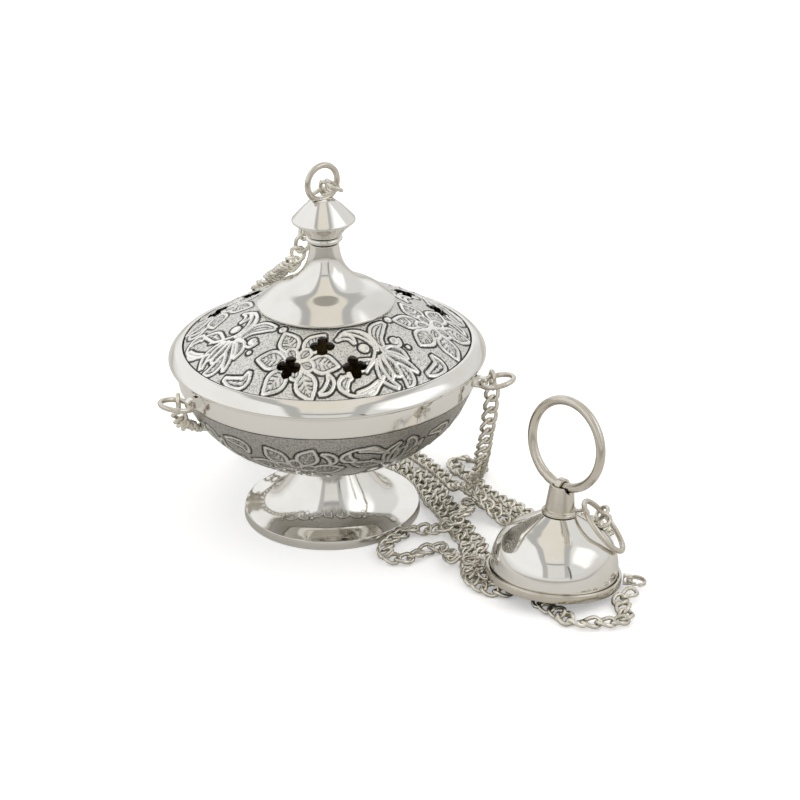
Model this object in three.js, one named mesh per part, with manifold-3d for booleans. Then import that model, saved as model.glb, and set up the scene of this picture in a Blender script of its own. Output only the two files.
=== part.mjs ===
// Hanging incense burner: a footed bowl with a pierced, domed lid on its own chain, three chains
// to the bowl, and a domed hand cap with a finger ring and a lift ring that pulls the lid up.
// Millimetres, +Z up. The burner stands on its foot and the hand cap lies beside it.
import * as THREE from 'three';
import { mergeVertices } from 'three/addons/utils/BufferGeometryUtils.js';
import Module from 'manifold-3d';

const wasm = await Module();
wasm.setup();

// Spun sheet and the clearance between pieces that touch
const wall = 1.2;
const seatGap = 0.32;

// Foot
const footRadius = 34.4;
const footRimRadius = 33.9;
const footRimHeight = 3.4;
const footNeckRadius = 11.5;
const footHeight = 23.7;

// Bowl, measured outside
const bowlRimRadius = 57.5;
const bowlHeight = 42;
const bowlBandTaper = 1;
const bowlBandHeight = 8.5;
const bowlBaseRadius = 12;

// Lid
const lidOverhang = 2.5;
const lidRimHeight = 5.7;
const spigotDepth = 3.6;
const spigotWall = 0.9;
const lidSlack = 0.9;
const lidDomeRise = 15;
const lidCrownRadius = 11;
const lidCrownRise = 4;

// Quatrefoil vents: one near the crown and a pair further out, three times round
const ventLobeRadius = 1.6;
const ventLobeOffset = 1.9;
const ventInnerCircle = 33.4;
const ventOuterCircle = 43;
const ventSpread = 16;
const ventAzimuth = -91;

// Spire, its bead and the finial
const skirtRadius = 25.9;
const skirtEdge = 0.8;
const spireNeckRadius = 5.4;
const spireHeight = 23.6;
const beadRadius = 6.9;
const beadHeight = 2.6;
const finialRadius = 11.85;
const finialCupHeight = 7;
const finialEdge = 1;
const finialConeHeight = 5.9;
const finialTopRadius = 3.8;

// Screws: the spire's rod, the foot's bolt and the finger ring's eye bolt
const rodRadius = 1.5;
const boltRadius = 1.9;
const boltHeadAcross = 7;
const boltHeadHeight = 2.4;
const nutAcross = 6;
const nutHeight = 2.4;
const washerRadius = 4.6;
const washerThickness = 0.8;

// Coal cup inside the bowl
const cupSeatRadius = 31;
const cupRimRadius = 38;
const cupHeight = 24;
const cupBeadRadius = 1.1;

// Rings: fixed side rings on the bowl, the lid's top ring, the finger ring and the lift ring
const sideRingRadius = 6.1;
const sideRingWire = 0.95;
const sideRingAzimuth = -21.8;
const sideRingTilt = 12;
const topRingRadius = 6.6;
const topRingWire = 1.1;
const topRingTurn = 37;
const topRingSink = 1.6;
const fingerRingRadius = 16.1;
const fingerRingWire = 1.7;
const fingerRingTurn = -46;
const liftRingShare = 0.47;
const liftRingWire = 1;
const splitRingRadius = 3.3;
const splitRingWire = 0.8;

// Lugs: an eye in a radial plate
const lugEyeRadius = 2.2;
const lugThickness = 2;
const lugClear = 1.9;
const lugDrop = 2.2;
const capLugEyeRadius = 2;
const eyeGap = 0.5;
const capLugThickness = 1.6;
const capLugReach = 1.9;
const capLugHeight = 2;

// Curb chain: one link's half length and half width to the wire's centre, and the wire
const linkHalfLength = 3.45;
const linkHalfWidth = 2.65;
const linkWire = 0.75;
const linkPlay = 0.35;
const chainRadius = 2;
const chainStep = 10;

// Hand cap, lying with one side of its rim on the table
const capPlace = new THREE.Vector2(82, -61);
const capRadius = 25;
const capRimHeight = 3.2;
const capRimWidth = 1.6;
const capDomeHeight = 24.6;
const capFlangeRadius = 6.5;
const capLean = 7.2;
const capLeanAzimuth = 50;
const collarFlange = 1;
const collarFootRadius = 5.4;
const collarTopRadius = 4.4;
const collarHeight = 10.8;
const collarBore = 3.4;
const capLugAzimuths = [168, -9, 84];
const capRingDrops = [10, 2, 3];

// Lift chain: the hole in the dome, and the straight run that hangs inside it
const liftAzimuth = 5;
const liftSeatShare = 0.667;
const liftRingStandoff = 1.6;
const liftRingTilt = 9;
const liftHoleOffset = 3;
const liftHoleRadius = 3.6;
const liftRunLength = 24;
const liftRunProud = 0.2;

// Facets
const bodySegments = 40;
const midSegments = 28;
const smallSegments = 14;
const wireSides = 6;

const degrees = Math.PI / 180;
const up = new THREE.Vector3(0, 0, 1);

const silver = { color: 0xd9d7d0, roughness: 0.18, metalness: 1 };
const embossed = { color: 0x9c9a95, roughness: 0.42, metalness: 1 };
const wireMetal = { color: 0xc9c6bb, roughness: 0.28, metalness: 1 };
const brass = { color: 0xb58a45, roughness: 0.35, metalness: 1 };

const burner = new THREE.Group();
const handCap = new THREE.Group();

function point(radius, height) {
  return new THREE.Vector2(radius, height);
}

// A closed body with shared vertices, no flat triangles and its faces pointing out
function closedBody(geometry) {
  const bare = geometry.index ? geometry.toNonIndexed() : geometry.clone();
  bare.deleteAttribute('normal');
  bare.deleteAttribute('uv');
  const merged = mergeVertices(bare, 1e-4);
  const place = merged.getAttribute('position');
  const corners = [];
  let volume = 0;
  const a = new THREE.Vector3();
  const b = new THREE.Vector3();
  const c = new THREE.Vector3();
  for (let i = 0; i < merged.index.count; i += 3) {
    const [p, q, r] = [0, 1, 2].map((k) => merged.index.getX(i + k));
    if (p === q || q === r || r === p) continue;
    corners.push(p, q, r);
    a.fromBufferAttribute(place, p);
    b.fromBufferAttribute(place, q);
    c.fromBufferAttribute(place, r);
    volume += a.dot(b.cross(c));
  }
  if (volume < 0) corners.reverse();
  merged.setIndex(corners);
  return merged;
}

function solid(geometry) {
  const body = closedBody(geometry);
  const mesh = new wasm.Mesh({
    numProp: 3,
    vertProperties: new Float32Array(body.getAttribute('position').array),
    triVerts: new Uint32Array(body.index.array),
  });
  return new wasm.Manifold(mesh);
}

function geometryOf(manifold) {
  const mesh = manifold.getMesh();
  const geometry = new THREE.BufferGeometry();
  geometry.setAttribute('position', new THREE.BufferAttribute(new Float32Array(mesh.vertProperties), 3));
  geometry.setIndex(Array.from(mesh.triVerts));
  return geometry;
}

function addPart(group, name, geometry, look) {
  const body = closedBody(geometry);
  body.computeVertexNormals();
  const mesh = new THREE.Mesh(body, new THREE.MeshStandardMaterial(look));
  mesh.name = name;
  group.add(mesh);
  return mesh;
}

// A profile of radius and height, turned about Z
function turned(profile, segments) {
  const first = profile[0];
  const last = profile[profile.length - 1];
  const closed = first.x === 0 && last.x === 0 ? profile : [...profile, first.clone()];
  return new THREE.LatheGeometry(closed, segments).rotateX(Math.PI / 2);
}

function smooth(points, count) {
  return new THREE.SplineCurve(points).getPoints(count);
}

// Points between two corners, each by its share of the width and of the height
function shares(from, to, steps) {
  return steps.map(([across, rise]) => point(
    from.x + (to.x - from.x) * across,
    from.y + (to.y - from.y) * rise,
  ));
}

// The profile moved sideways by a distance, to its right when it is followed from start to end
function offset(profile, distance) {
  return profile.map((here, i) => {
    const before = profile[Math.max(i - 1, 0)];
    const after = profile[Math.min(i + 1, profile.length - 1)];
    const along = after.clone().sub(before).normalize();
    return point(here.x + along.y * distance, here.y - along.x * distance);
  });
}

function rod(radius, from, to, segments = smallSegments) {
  const length = to - from;
  return new THREE.CylinderGeometry(radius, radius, length, segments)
    .rotateX(Math.PI / 2)
    .translate(0, 0, from + length / 2);
}

function hexagon(across, from, to) {
  return rod(across / Math.sqrt(3), from, to, 6);
}

function washer(outer, inner, from, to) {
  return turned([point(inner, from), point(outer, from), point(outer, to), point(inner, to)], smallSegments);
}

function nut(across, bore, from, to) {
  return geometryOf(solid(hexagon(across, from, to)).subtract(solid(rod(bore, from - 1, to + 1))));
}

// Round wire bent to a closed oval in the XY plane
function wireLoop(halfLength, halfWidth, wire, segments) {
  const positions = [];
  const corners = [];
  for (let i = 0; i < segments; i += 1) {
    const turn = (i / segments) * 2 * Math.PI;
    const normal = new THREE.Vector2(Math.cos(turn) * halfWidth, Math.sin(turn) * halfLength).normalize();
    for (let j = 0; j < wireSides; j += 1) {
      const around = (j / wireSides) * 2 * Math.PI;
      const out = Math.cos(around) * wire;
      positions.push(Math.cos(turn) * halfLength + normal.x * out);
      positions.push(Math.sin(turn) * halfWidth + normal.y * out);
      positions.push(Math.sin(around) * wire);
      const next = ((i + 1) % segments) * wireSides;
      const nextSide = (j + 1) % wireSides;
      const here = i * wireSides;
      corners.push(here + j, next + j, next + nextSide);
      corners.push(here + j, next + nextSide, here + nextSide);
    }
  }
  const geometry = new THREE.BufferGeometry();
  geometry.setAttribute('position', new THREE.Float32BufferAttribute(positions, 3));
  geometry.setIndex(corners);
  return geometry;
}

function chainLink() {
  return wireLoop(linkHalfLength, linkHalfWidth, linkWire, 12);
}

// Turn a body's X, Y and Z axes to three given directions and move it to a place
function aim(geometry, x, y, z, place) {
  const frame = new THREE.Matrix4().makeBasis(x, y, z).setPosition(place);
  return geometry.applyMatrix4(frame);
}

function radial(azimuth, radius = 1, height = 0) {
  return new THREE.Vector3(
    Math.cos(azimuth * degrees) * radius,
    Math.sin(azimuth * degrees) * radius,
    height,
  );
}

// The height of a profile at a radius, on its part that climbs outwards
function heightAt(profile, radius) {
  const i = profile.findIndex((p, k) => k > 0 && (p.x - radius) * (profile[k - 1].x - radius) <= 0);
  const [low, high] = [profile[i - 1], profile[i]];
  return low.y + ((high.y - low.y) * (radius - low.x)) / (high.x - low.x);
}

// Heights that one piece takes from the piece below it
const bowlBase = footHeight + seatGap;
const bowlRim = bowlBase + bowlHeight;
const bowlBand = bowlRim - bowlBandHeight;
const lidSeat = bowlRim + seatGap;
const lidBandTop = lidSeat + lidRimHeight;
const bowlBandRadius = bowlRimRadius - bowlBandTaper;
const lidRimRadius = bowlRimRadius + lidOverhang;
const lugReach = lidOverhang + lugClear;
const bowlMouth = bowlRimRadius - wall;
const spigotRadius = bowlMouth - lidSlack;
const spigotInner = spigotRadius - spigotWall;

// Foot: a spun trumpet, hollow underneath, with a flat seat for the bowl
function footProfile(radius, rimRadius, rimHeight, neckRadius, top) {
  const flare = [];
  const steps = 5;
  for (let i = 0; i <= steps; i += 1) {
    const turn = (i / steps) * (Math.PI / 2);
    flare.push(point(
      rimRadius - (rimRadius - neckRadius) * Math.sin(turn),
      top - (top - rimHeight) * Math.cos(turn),
    ));
  }
  return [point(radius, 0), ...flare];
}

function buildFoot() {
  const outer = footProfile(footRadius, footRimRadius, footRimHeight, footNeckRadius, footHeight);
  const inner = footProfile(
    footRadius - wall,
    footRimRadius - wall,
    footRimHeight - wall,
    footNeckRadius - wall,
    footHeight - wall,
  );
  const bore = boltRadius + seatGap;
  const profile = [...outer, point(bore, footHeight), point(bore, footHeight - wall), ...inner.reverse()];
  addPart(burner, 'foot', turned(profile, bodySegments), silver);
}

// Bowl: spun sheet, with a plain band under its rim and embossing below
function bowlOuter() {
  const belly = smooth(shares(point(bowlBaseRadius, bowlBase), point(bowlBandRadius, bowlBand), [
    [0, 0], [0.36, 0.137], [0.629, 0.328], [0.854, 0.627], [1, 1],
  ]), 7);
  return [...belly, point(bowlRimRadius, bowlRim)];
}

function bowlInner() {
  return offset(bowlOuter(), -wall);
}

function buildBowl() {
  const bore = boltRadius + seatGap;
  const inner = bowlInner();
  const profile = [
    point(bore, bowlBase),
    ...bowlOuter(),
    point(bowlMouth, bowlRim),
    ...inner.slice(1, -1).reverse(),
    point(bowlBaseRadius - wall, bowlBase + wall),
    point(bore, bowlBase + wall),
  ];
  addPart(burner, 'bowl', turned(profile, bodySegments), embossed);
}

// Bolt up through the foot into the bowl, its head in the bowl and its nut under the foot
function buildFootBolt() {
  const floor = bowlBase + wall + seatGap;
  const under = footHeight - wall - seatGap;
  const nutTop = under - washerThickness - seatGap;
  const head = solid(hexagon(boltHeadAcross, floor, floor + boltHeadHeight));
  const shank = solid(rod(boltRadius, nutTop - nutHeight - 1, floor + 1));
  addPart(burner, 'foot_bolt', geometryOf(head.add(shank)), brass);
  const bore = boltRadius + seatGap;
  addPart(burner, 'foot_washer', washer(washerRadius, bore, under - washerThickness, under), brass);
  addPart(burner, 'foot_nut', nut(nutAcross + 1, bore, nutTop - nutHeight, nutTop), brass);
}

// Coal cup: a loose cup that sits on the bowl's curve and lifts out
function buildCoalCup() {
  const floor = heightAt(bowlInner(), cupSeatRadius) + seatGap + 0.4;
  const rimHeight = floor + cupHeight;
  const bead = [];
  for (let i = 0; i <= 4; i += 1) {
    const turn = (i / 4 - 0.25) * Math.PI;
    bead.push(point(cupRimRadius + Math.cos(turn) * cupBeadRadius, rimHeight + Math.sin(turn) * cupBeadRadius));
  }
  const profile = [
    point(0, floor),
    point(cupSeatRadius, floor),
    point(cupRimRadius, rimHeight - cupBeadRadius),
    ...bead,
    point(cupRimRadius - wall, rimHeight),
    point(cupSeatRadius - wall, floor + wall),
    point(0, floor + wall),
  ];
  addPart(burner, 'coal_cup', turned(profile, bodySegments), brass);
}

// A lug's plate in its own frame: X outwards, Y up, with its eye at the origin
function lugPlate(eyeRadius, bore, thickness, reach, drop) {
  const outline = new THREE.Shape();
  outline.absarc(0, 0, eyeRadius, -Math.PI / 2, Math.PI / 2, false);
  outline.lineTo(-reach, eyeRadius);
  outline.lineTo(-reach, -drop);
  outline.lineTo(0, -drop);
  const eye = new THREE.Path();
  eye.absarc(0, 0, bore, 0, 2 * Math.PI, true);
  outline.holes.push(eye);
  return new THREE.ExtrudeGeometry(outline, {
    depth: thickness,
    bevelEnabled: false,
    curveSegments: 5,
  }).translate(0, 0, -thickness / 2);
}

// Side rings: level, in lugs on the bowl's band, with the chains' end links hung over them
function buildSideRings() {
  const eyeRadius = bowlRimRadius + lugReach;
  const eyeHeight = bowlRim - lugEyeRadius;
  for (let i = 0; i < 3; i += 1) {
    const azimuth = sideRingAzimuth - i * 120;
    const outward = radial(azimuth);
    const along = new THREE.Vector3().crossVectors(up, outward);
    const eye = radial(azimuth, eyeRadius, eyeHeight);
    const bore = sideRingWire + eyeGap;
    const plate = lugPlate(lugEyeRadius, bore, lugThickness, lugReach - seatGap, lugDrop);
    aim(plate, outward, up, along.clone().negate(), eye);
    addPart(burner, `bowl_lug_${i + 1}`, plate, silver);

    const rise = outward.clone().multiplyScalar(Math.cos(sideRingTilt * degrees))
      .addScaledVector(up, Math.sin(sideRingTilt * degrees));
    const face = new THREE.Vector3().crossVectors(rise, along);
    const centre = eye.clone().addScaledVector(rise, sideRingRadius);
    const ring = wireLoop(sideRingRadius, sideRingRadius, sideRingWire, 20);
    addPart(burner, `side_ring_${i + 1}`, aim(ring, rise, along, face, centre), wireMetal);

    const side = i === 0 ? 1 : -1;
    const swing = 53 * degrees;
    const hang = centre.clone()
      .addScaledVector(rise, -Math.cos(swing) * sideRingRadius)
      .addScaledVector(along, side * Math.sin(swing) * sideRingRadius);
    const across = outward.clone().multiplyScalar(Math.sin(swing))
      .addScaledVector(along, side * Math.cos(swing));
    const flat = new THREE.Vector3().crossVectors(up, across);
    const drop = linkHalfLength - sideRingWire - linkWire - linkPlay;
    const link = aim(chainLink(), up, flat, across, hang.addScaledVector(up, -drop));
    addPart(burner, `side_chain_link_${i + 1}`, link, wireMetal);
  }
}

// Lid rim: a polished ring with a sloped band, and a spigot that drops inside the bowl's mouth
function buildLidRim() {
  const profile = [
    point(spigotInner, lidSeat - spigotDepth),
    point(spigotRadius, lidSeat - spigotDepth),
    point(spigotRadius, lidSeat),
    point(lidRimRadius - 0.5, lidSeat),
    ...shares(point(lidRimRadius, lidSeat), point(spigotInner, lidBandTop), [
      [0, 0.09], [0, 0.25], [0.16, 0.49], [0.46, 0.81], [0.84, 1], [1, 1],
    ]),
  ];
  addPart(burner, 'lid_rim', turned(profile, bodySegments), silver);
}

const lidCrown = lidBandTop + lidDomeRise + lidCrownRise;

// Lid shell: the embossed dome inside the rim, pierced by the vents
function lidDome() {
  const edge = spigotInner - seatGap;
  const top = lidBandTop + lidDomeRise;
  return [
    point(edge, lidBandTop - 3),
    ...smooth([
      ...shares(point(edge, lidBandTop - 0.4), point(skirtRadius - wall, top), [
        [0, 0], [0.447, 0.56], [1, 1],
      ]),
      point(lidCrownRadius, lidCrown),
    ], 6),
  ];
}

function quatrefoil() {
  const outline = new THREE.Shape();
  const meet = (ventLobeOffset + Math.sqrt(2 * ventLobeRadius ** 2 - ventLobeOffset ** 2)) / 2;
  const half = Math.atan2(meet, meet - ventLobeOffset);
  for (let i = 0; i < 4; i += 1) {
    const turn = (i * Math.PI) / 2;
    const x = Math.cos(turn) * ventLobeOffset;
    const y = Math.sin(turn) * ventLobeOffset;
    outline.absarc(x, y, ventLobeRadius, turn - half, turn + half, false);
  }
  return new THREE.ExtrudeGeometry(outline, { depth: 40, bevelEnabled: false, curveSegments: 3 });
}

function buildLidShell() {
  const outer = lidDome();
  const crown = outer[outer.length - 1];
  const inner = offset(outer, -wall);
  inner[0] = point(outer[0].x - wall, outer[0].y);
  const bore = rodRadius + seatGap;
  const profile = [
    ...outer,
    point(bore, crown.y),
    point(bore, crown.y - wall),
    point(crown.x, crown.y - wall),
    ...inner.slice(0, -1).reverse(),
  ];
  let shell = solid(turned(profile, bodySegments));
  for (let i = 0; i < 3; i += 1) {
    const middle = ventAzimuth + i * 120;
    const vents = [[middle, ventInnerCircle], [middle - ventSpread, ventOuterCircle],
      [middle + ventSpread, ventOuterCircle]];
    for (const [azimuth, circle] of vents) {
      const vent = quatrefoil().rotateZ(azimuth * degrees);
      const place = radial(azimuth, circle, lidSeat);
      shell = shell.subtract(solid(vent.translate(place.x, place.y, place.z)));
    }
  }
  addPart(burner, 'lid_shell', geometryOf(shell), embossed);
}

// Spire: a hollow polished trumpet on the crown, with a bead and a double-cone finial
const skirtSeat = lidBandTop + lidDomeRise + seatGap;
const spireTop = skirtSeat + spireHeight;
const beadTop = spireTop + seatGap + beadHeight;
const finialBase = beadTop + seatGap;
const finialTop = finialBase + finialCupHeight + finialEdge + finialConeHeight;

function buildSpire() {
  const curve = smooth(shares(point(skirtRadius, skirtSeat + skirtEdge), point(spireNeckRadius, spireTop), [
    [0, 0], [0.283, 0.184], [0.605, 0.333], [0.834, 0.526], [0.951, 0.737], [1, 1],
  ]), 8);
  const inner = offset(curve, -wall);
  inner[0] = point(skirtRadius - wall, skirtSeat);
  inner[inner.length - 1] = point(spireNeckRadius - wall, spireTop);
  const profile = [point(skirtRadius, skirtSeat), ...curve, ...inner.reverse()];
  addPart(burner, 'spire', turned(profile, midSegments), silver);
}

function buildFinial() {
  const bore = rodRadius + seatGap;
  const beadBase = spireTop + seatGap;
  const bead = turned([
    point(bore, beadBase),
    point(spireNeckRadius, beadBase),
    point(beadRadius, beadBase + beadHeight * 0.45),
    point(beadRadius, beadBase + beadHeight * 0.75),
    point(beadRadius - 0.8, beadTop),
    point(bore, beadTop),
  ], midSegments);
  addPart(burner, 'spire_bead', bead, silver);

  const edgeHeight = finialBase + finialCupHeight;
  const cone = turned([
    point(0, finialBase + finialCupHeight - 1.5),
    point(bore, finialBase + finialCupHeight - 1.5),
    point(bore, finialBase),
    point(beadRadius - 0.3, finialBase),
    point(beadRadius + 1.4, finialBase + finialCupHeight * 0.45),
    point(finialRadius, edgeHeight),
    point(finialRadius, edgeHeight + finialEdge),
    point(finialTopRadius + 3.6, finialTop - 3),
    point(finialTopRadius, finialTop),
    point(0, finialTop),
  ], midSegments);
  const groove = topRing(topRingWire + seatGap);
  addPart(burner, 'finial', geometryOf(solid(cone).subtract(solid(groove))), silver);
  addPart(burner, 'top_ring', topRing(topRingWire), wireMetal);
}

// The upright ring that stands in a groove in the finial's top
function topRing(wire) {
  const along = radial(topRingTurn);
  const face = new THREE.Vector3().crossVectors(along, up);
  const centre = new THREE.Vector3(0, 0, finialTop - topRingSink + topRingWire + topRingRadius);
  return aim(wireLoop(topRingRadius, topRingRadius, wire, 22), along, up, face, centre);
}

function buildSpireRod() {
  const under = lidCrown - wall - seatGap;
  const nutTop = under - washerThickness - seatGap;
  const bore = rodRadius + seatGap;
  const top = finialBase + finialCupHeight - 1.5 - seatGap;
  addPart(burner, 'spire_rod', rod(rodRadius, nutTop - nutHeight - 1, top), brass);
  addPart(burner, 'spire_washer', washer(washerRadius, bore, under - washerThickness, under), brass);
  addPart(burner, 'spire_nut', nut(nutAcross, bore, nutTop - nutHeight, nutTop), brass);
}

// The lid chain's end link, hooked through the top ring and leaning back over the finial
function buildTopLink() {
  const along = radial(topRingTurn);
  const face = radial(topRingTurn + 90);
  const swing = 60 * degrees;
  const out = along.clone().multiplyScalar(Math.sin(swing)).addScaledVector(up, -Math.cos(swing));
  const tangent = along.clone().multiplyScalar(Math.cos(swing)).addScaledVector(up, Math.sin(swing));
  const centre = new THREE.Vector3(0, 0, finialTop - topRingSink + topRingWire + topRingRadius);
  const wire = centre.clone().addScaledVector(out, topRingRadius);
  const lean = 30 * degrees;
  const pull = face.clone().multiplyScalar(Math.cos(lean)).addScaledVector(out, Math.sin(lean));
  const side = new THREE.Vector3().crossVectors(tangent, pull);
  const shift = linkHalfLength - topRingWire - linkWire - linkPlay;
  const link = aim(chainLink(), pull, side, tangent, wire.addScaledVector(pull, shift));
  addPart(burner, 'lid_chain_link', link, wireMetal);
}

const capDomeRadius = capRadius - capRimWidth;

// Hand cap: a spun dome with a rolled rim, in its own frame with its axis along Z
function capDome() {
  return smooth(shares(point(capDomeRadius, capRimHeight + 1.2), point(capFlangeRadius, capDomeHeight), [
    [0, 0], [0.03, 0.218], [0.13, 0.446], [0.331, 0.644], [0.58, 0.782], [0.793, 0.891], [1, 1],
  ]), 8);
}

// The lift ring's place on the dome: outwards, sideways along the dome, and up its slope, which
// is that of a line between a low and a high point of the dome's shoulder
const liftRingRadius = capDomeRadius * liftRingShare;
const liftSeatRadius = capDomeRadius * liftSeatShare;
const [shoulderLow, shoulderHigh] = [0.97, 0.35].map((share) => capDomeRadius * share);
const liftElevation = Math.atan2(
  shoulderLow - shoulderHigh,
  heightAt(capDome(), shoulderHigh) - heightAt(capDome(), shoulderLow),
) / degrees;
const liftOut = radial(liftAzimuth, Math.cos(liftElevation * degrees), Math.sin(liftElevation * degrees));
const liftSide = radial(liftAzimuth + 90);
const liftSlope = new THREE.Vector3().crossVectors(liftOut, liftSide);
const liftSeat = radial(liftAzimuth, liftSeatRadius, heightAt(capDome(), liftSeatRadius));

function buildCapDome() {
  const outer = [point(capDomeRadius, 0), ...capDome()];
  const inner = offset(outer, -wall);
  inner[0] = point(outer[0].x - wall, 0);
  const bore = rodRadius + seatGap;
  inner[inner.length - 1] = point(capFlangeRadius, capDomeHeight - wall);
  const profile = [...outer, point(bore, capDomeHeight), point(bore, capDomeHeight - wall), ...inner.reverse()];
  const drill = new THREE.CylinderGeometry(liftHoleRadius, liftHoleRadius, 12, smallSegments);
  drill.rotateX(Math.PI / 2);
  const hole = liftSeat.clone().addScaledVector(liftSide, liftHoleOffset);
  aim(drill, liftSlope, liftSide, liftOut, hole);
  const dome = solid(turned(profile, midSegments)).subtract(solid(drill));
  addPart(handCap, 'cap_dome', geometryOf(dome), silver);

  const rimInner = capDomeRadius + seatGap;
  const rim = turned([
    point(rimInner, 0),
    point(capRadius - 0.3, 0),
    point(capRadius, capRimHeight * 0.5),
    point(capRadius - 0.3, capRimHeight),
    point(rimInner, capRimHeight),
  ], midSegments);
  addPart(handCap, 'cap_rim', rim, silver);
}

// Collar: a tapered tube on the dome, notched across its top for the finger ring
const collarBase = capDomeHeight + seatGap;
const collarTop = collarBase + collarHeight;
const ringSeat = collarTop - 0.4;

function fingerRingFrame() {
  const along = radial(fingerRingTurn);
  const face = new THREE.Vector3().crossVectors(along, up);
  return { along, face };
}

function buildCollar() {
  const tube = turned([
    point(collarBore, collarBase),
    point(capFlangeRadius, collarBase),
    point(capFlangeRadius, collarBase + collarFlange),
    point(collarFootRadius, collarBase + collarFlange + 0.6),
    point(collarTopRadius, collarTop),
    point(collarBore, collarTop),
  ], midSegments);
  const { along, face } = fingerRingFrame();
  const notchRadius = fingerRingWire + 0.9;
  const notch = new THREE.CylinderGeometry(notchRadius, notchRadius, 4 * collarTopRadius, smallSegments);
  const place = new THREE.Vector3(0, 0, ringSeat + notchRadius - fingerRingWire - seatGap);
  aim(notch, up, along, face.clone().negate(), place);
  addPart(handCap, 'cap_collar', geometryOf(solid(tube).subtract(solid(notch))), silver);
}

// Eye bolt: holds the finger ring in the notch and clamps collar and dome together
function buildEyeBolt() {
  const { along, face } = fingerRingFrame();
  const eyeInner = fingerRingWire + 0.4;
  const eyeOuter = eyeInner + 0.9;
  const width = 2.2;
  const seat = new THREE.Vector3(0, 0, ringSeat);
  const band = new THREE.CylinderGeometry(eyeOuter, eyeOuter, width, smallSegments);
  const bore = new THREE.CylinderGeometry(eyeInner, eyeInner, 2 * width, smallSegments);
  aim(band, up, along, face.clone().negate(), seat);
  aim(bore, up, along, face.clone().negate(), seat);
  const under = capDomeHeight - wall - seatGap;
  const nutTop = under - washerThickness - seatGap;
  const shank = solid(rod(rodRadius, nutTop - nutHeight - 0.8, ringSeat - eyeInner - 0.3));
  addPart(handCap, 'ring_eye_bolt', geometryOf(solid(band).subtract(solid(bore)).add(shank)), wireMetal);
  const hole = rodRadius + seatGap;
  addPart(handCap, 'eye_washer', washer(washerRadius, hole, under - washerThickness, under), brass);
  addPart(handCap, 'eye_nut', nut(nutAcross, hole, nutTop - nutHeight, nutTop), brass);
}

function buildFingerRing() {
  const { along, face } = fingerRingFrame();
  const centre = new THREE.Vector3(0, 0, ringSeat + fingerRingRadius);
  const ring = wireLoop(fingerRingRadius, fingerRingRadius, fingerRingWire, 32);
  addPart(handCap, 'finger_ring', aim(ring, along, up, face, centre), wireMetal);
}

// Lift ring against the dome's shoulder, its link, and the chain that drops inside the dome
function buildLift() {
  const centre = liftSeat.clone().addScaledVector(liftOut, liftRingStandoff);
  const tilt = liftRingTilt * degrees;
  const reach = liftSide.clone().multiplyScalar(Math.cos(tilt)).addScaledVector(liftOut, Math.sin(tilt));
  const face = new THREE.Vector3().crossVectors(liftSlope, reach).negate();
  const ring = wireLoop(liftRingRadius, liftRingRadius, liftRingWire, 26);
  addPart(handCap, 'lift_ring', aim(ring, reach, liftSlope.clone().negate(), face.negate(), centre), wireMetal);

  const shift = linkHalfLength - liftRingWire - linkWire - linkPlay;
  const linkPlace = centre.clone()
    .addScaledVector(reach, liftRingRadius)
    .addScaledVector(liftSide, -shift);
  const link = aim(chainLink(), liftSide, liftOut, liftSlope, linkPlace);
  addPart(handCap, 'lift_link', link, wireMetal);

  const runProud = liftRingStandoff + liftRunProud;
  const run = new THREE.CylinderGeometry(chainRadius, chainRadius, liftRunLength + runProud, 8);
  run.rotateX(Math.PI / 2);
  const middle = liftSeat.clone()
    .addScaledVector(liftSide, liftHoleOffset)
    .addScaledVector(liftOut, (runProud - liftRunLength) / 2);
  addPart(handCap, 'lift_chain', aim(run, liftSide, liftSlope.clone().negate(), liftOut, middle), wireMetal);
}

// Lugs on the cap's rim, each with a split ring for a chain
function buildCapLugs() {
  capLugAzimuths.forEach((azimuth, i) => {
    const outward = radial(azimuth);
    const along = new THREE.Vector3().crossVectors(up, outward);
    const eye = radial(azimuth, capRadius + capLugReach, capLugHeight);
    const bore = splitRingWire + eyeGap;
    const plate = lugPlate(capLugEyeRadius, bore, capLugThickness, capLugReach - seatGap, capLugEyeRadius);
    aim(plate, outward, up, along.clone().negate(), eye);
    addPart(handCap, `cap_lug_${i + 1}`, plate, silver);

    const drop = capRingDrops[i] * degrees;
    const fall = outward.clone().multiplyScalar(Math.cos(drop)).addScaledVector(up, -Math.sin(drop));
    const face = new THREE.Vector3().crossVectors(fall, along);
    const centre = eye.clone().addScaledVector(fall, splitRingRadius);
    const ring = wireLoop(splitRingRadius, splitRingRadius, splitRingWire, 14);
    addPart(handCap, `cap_split_ring_${i + 1}`, aim(ring, fall, along, face, centre), wireMetal);
  });
}

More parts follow.
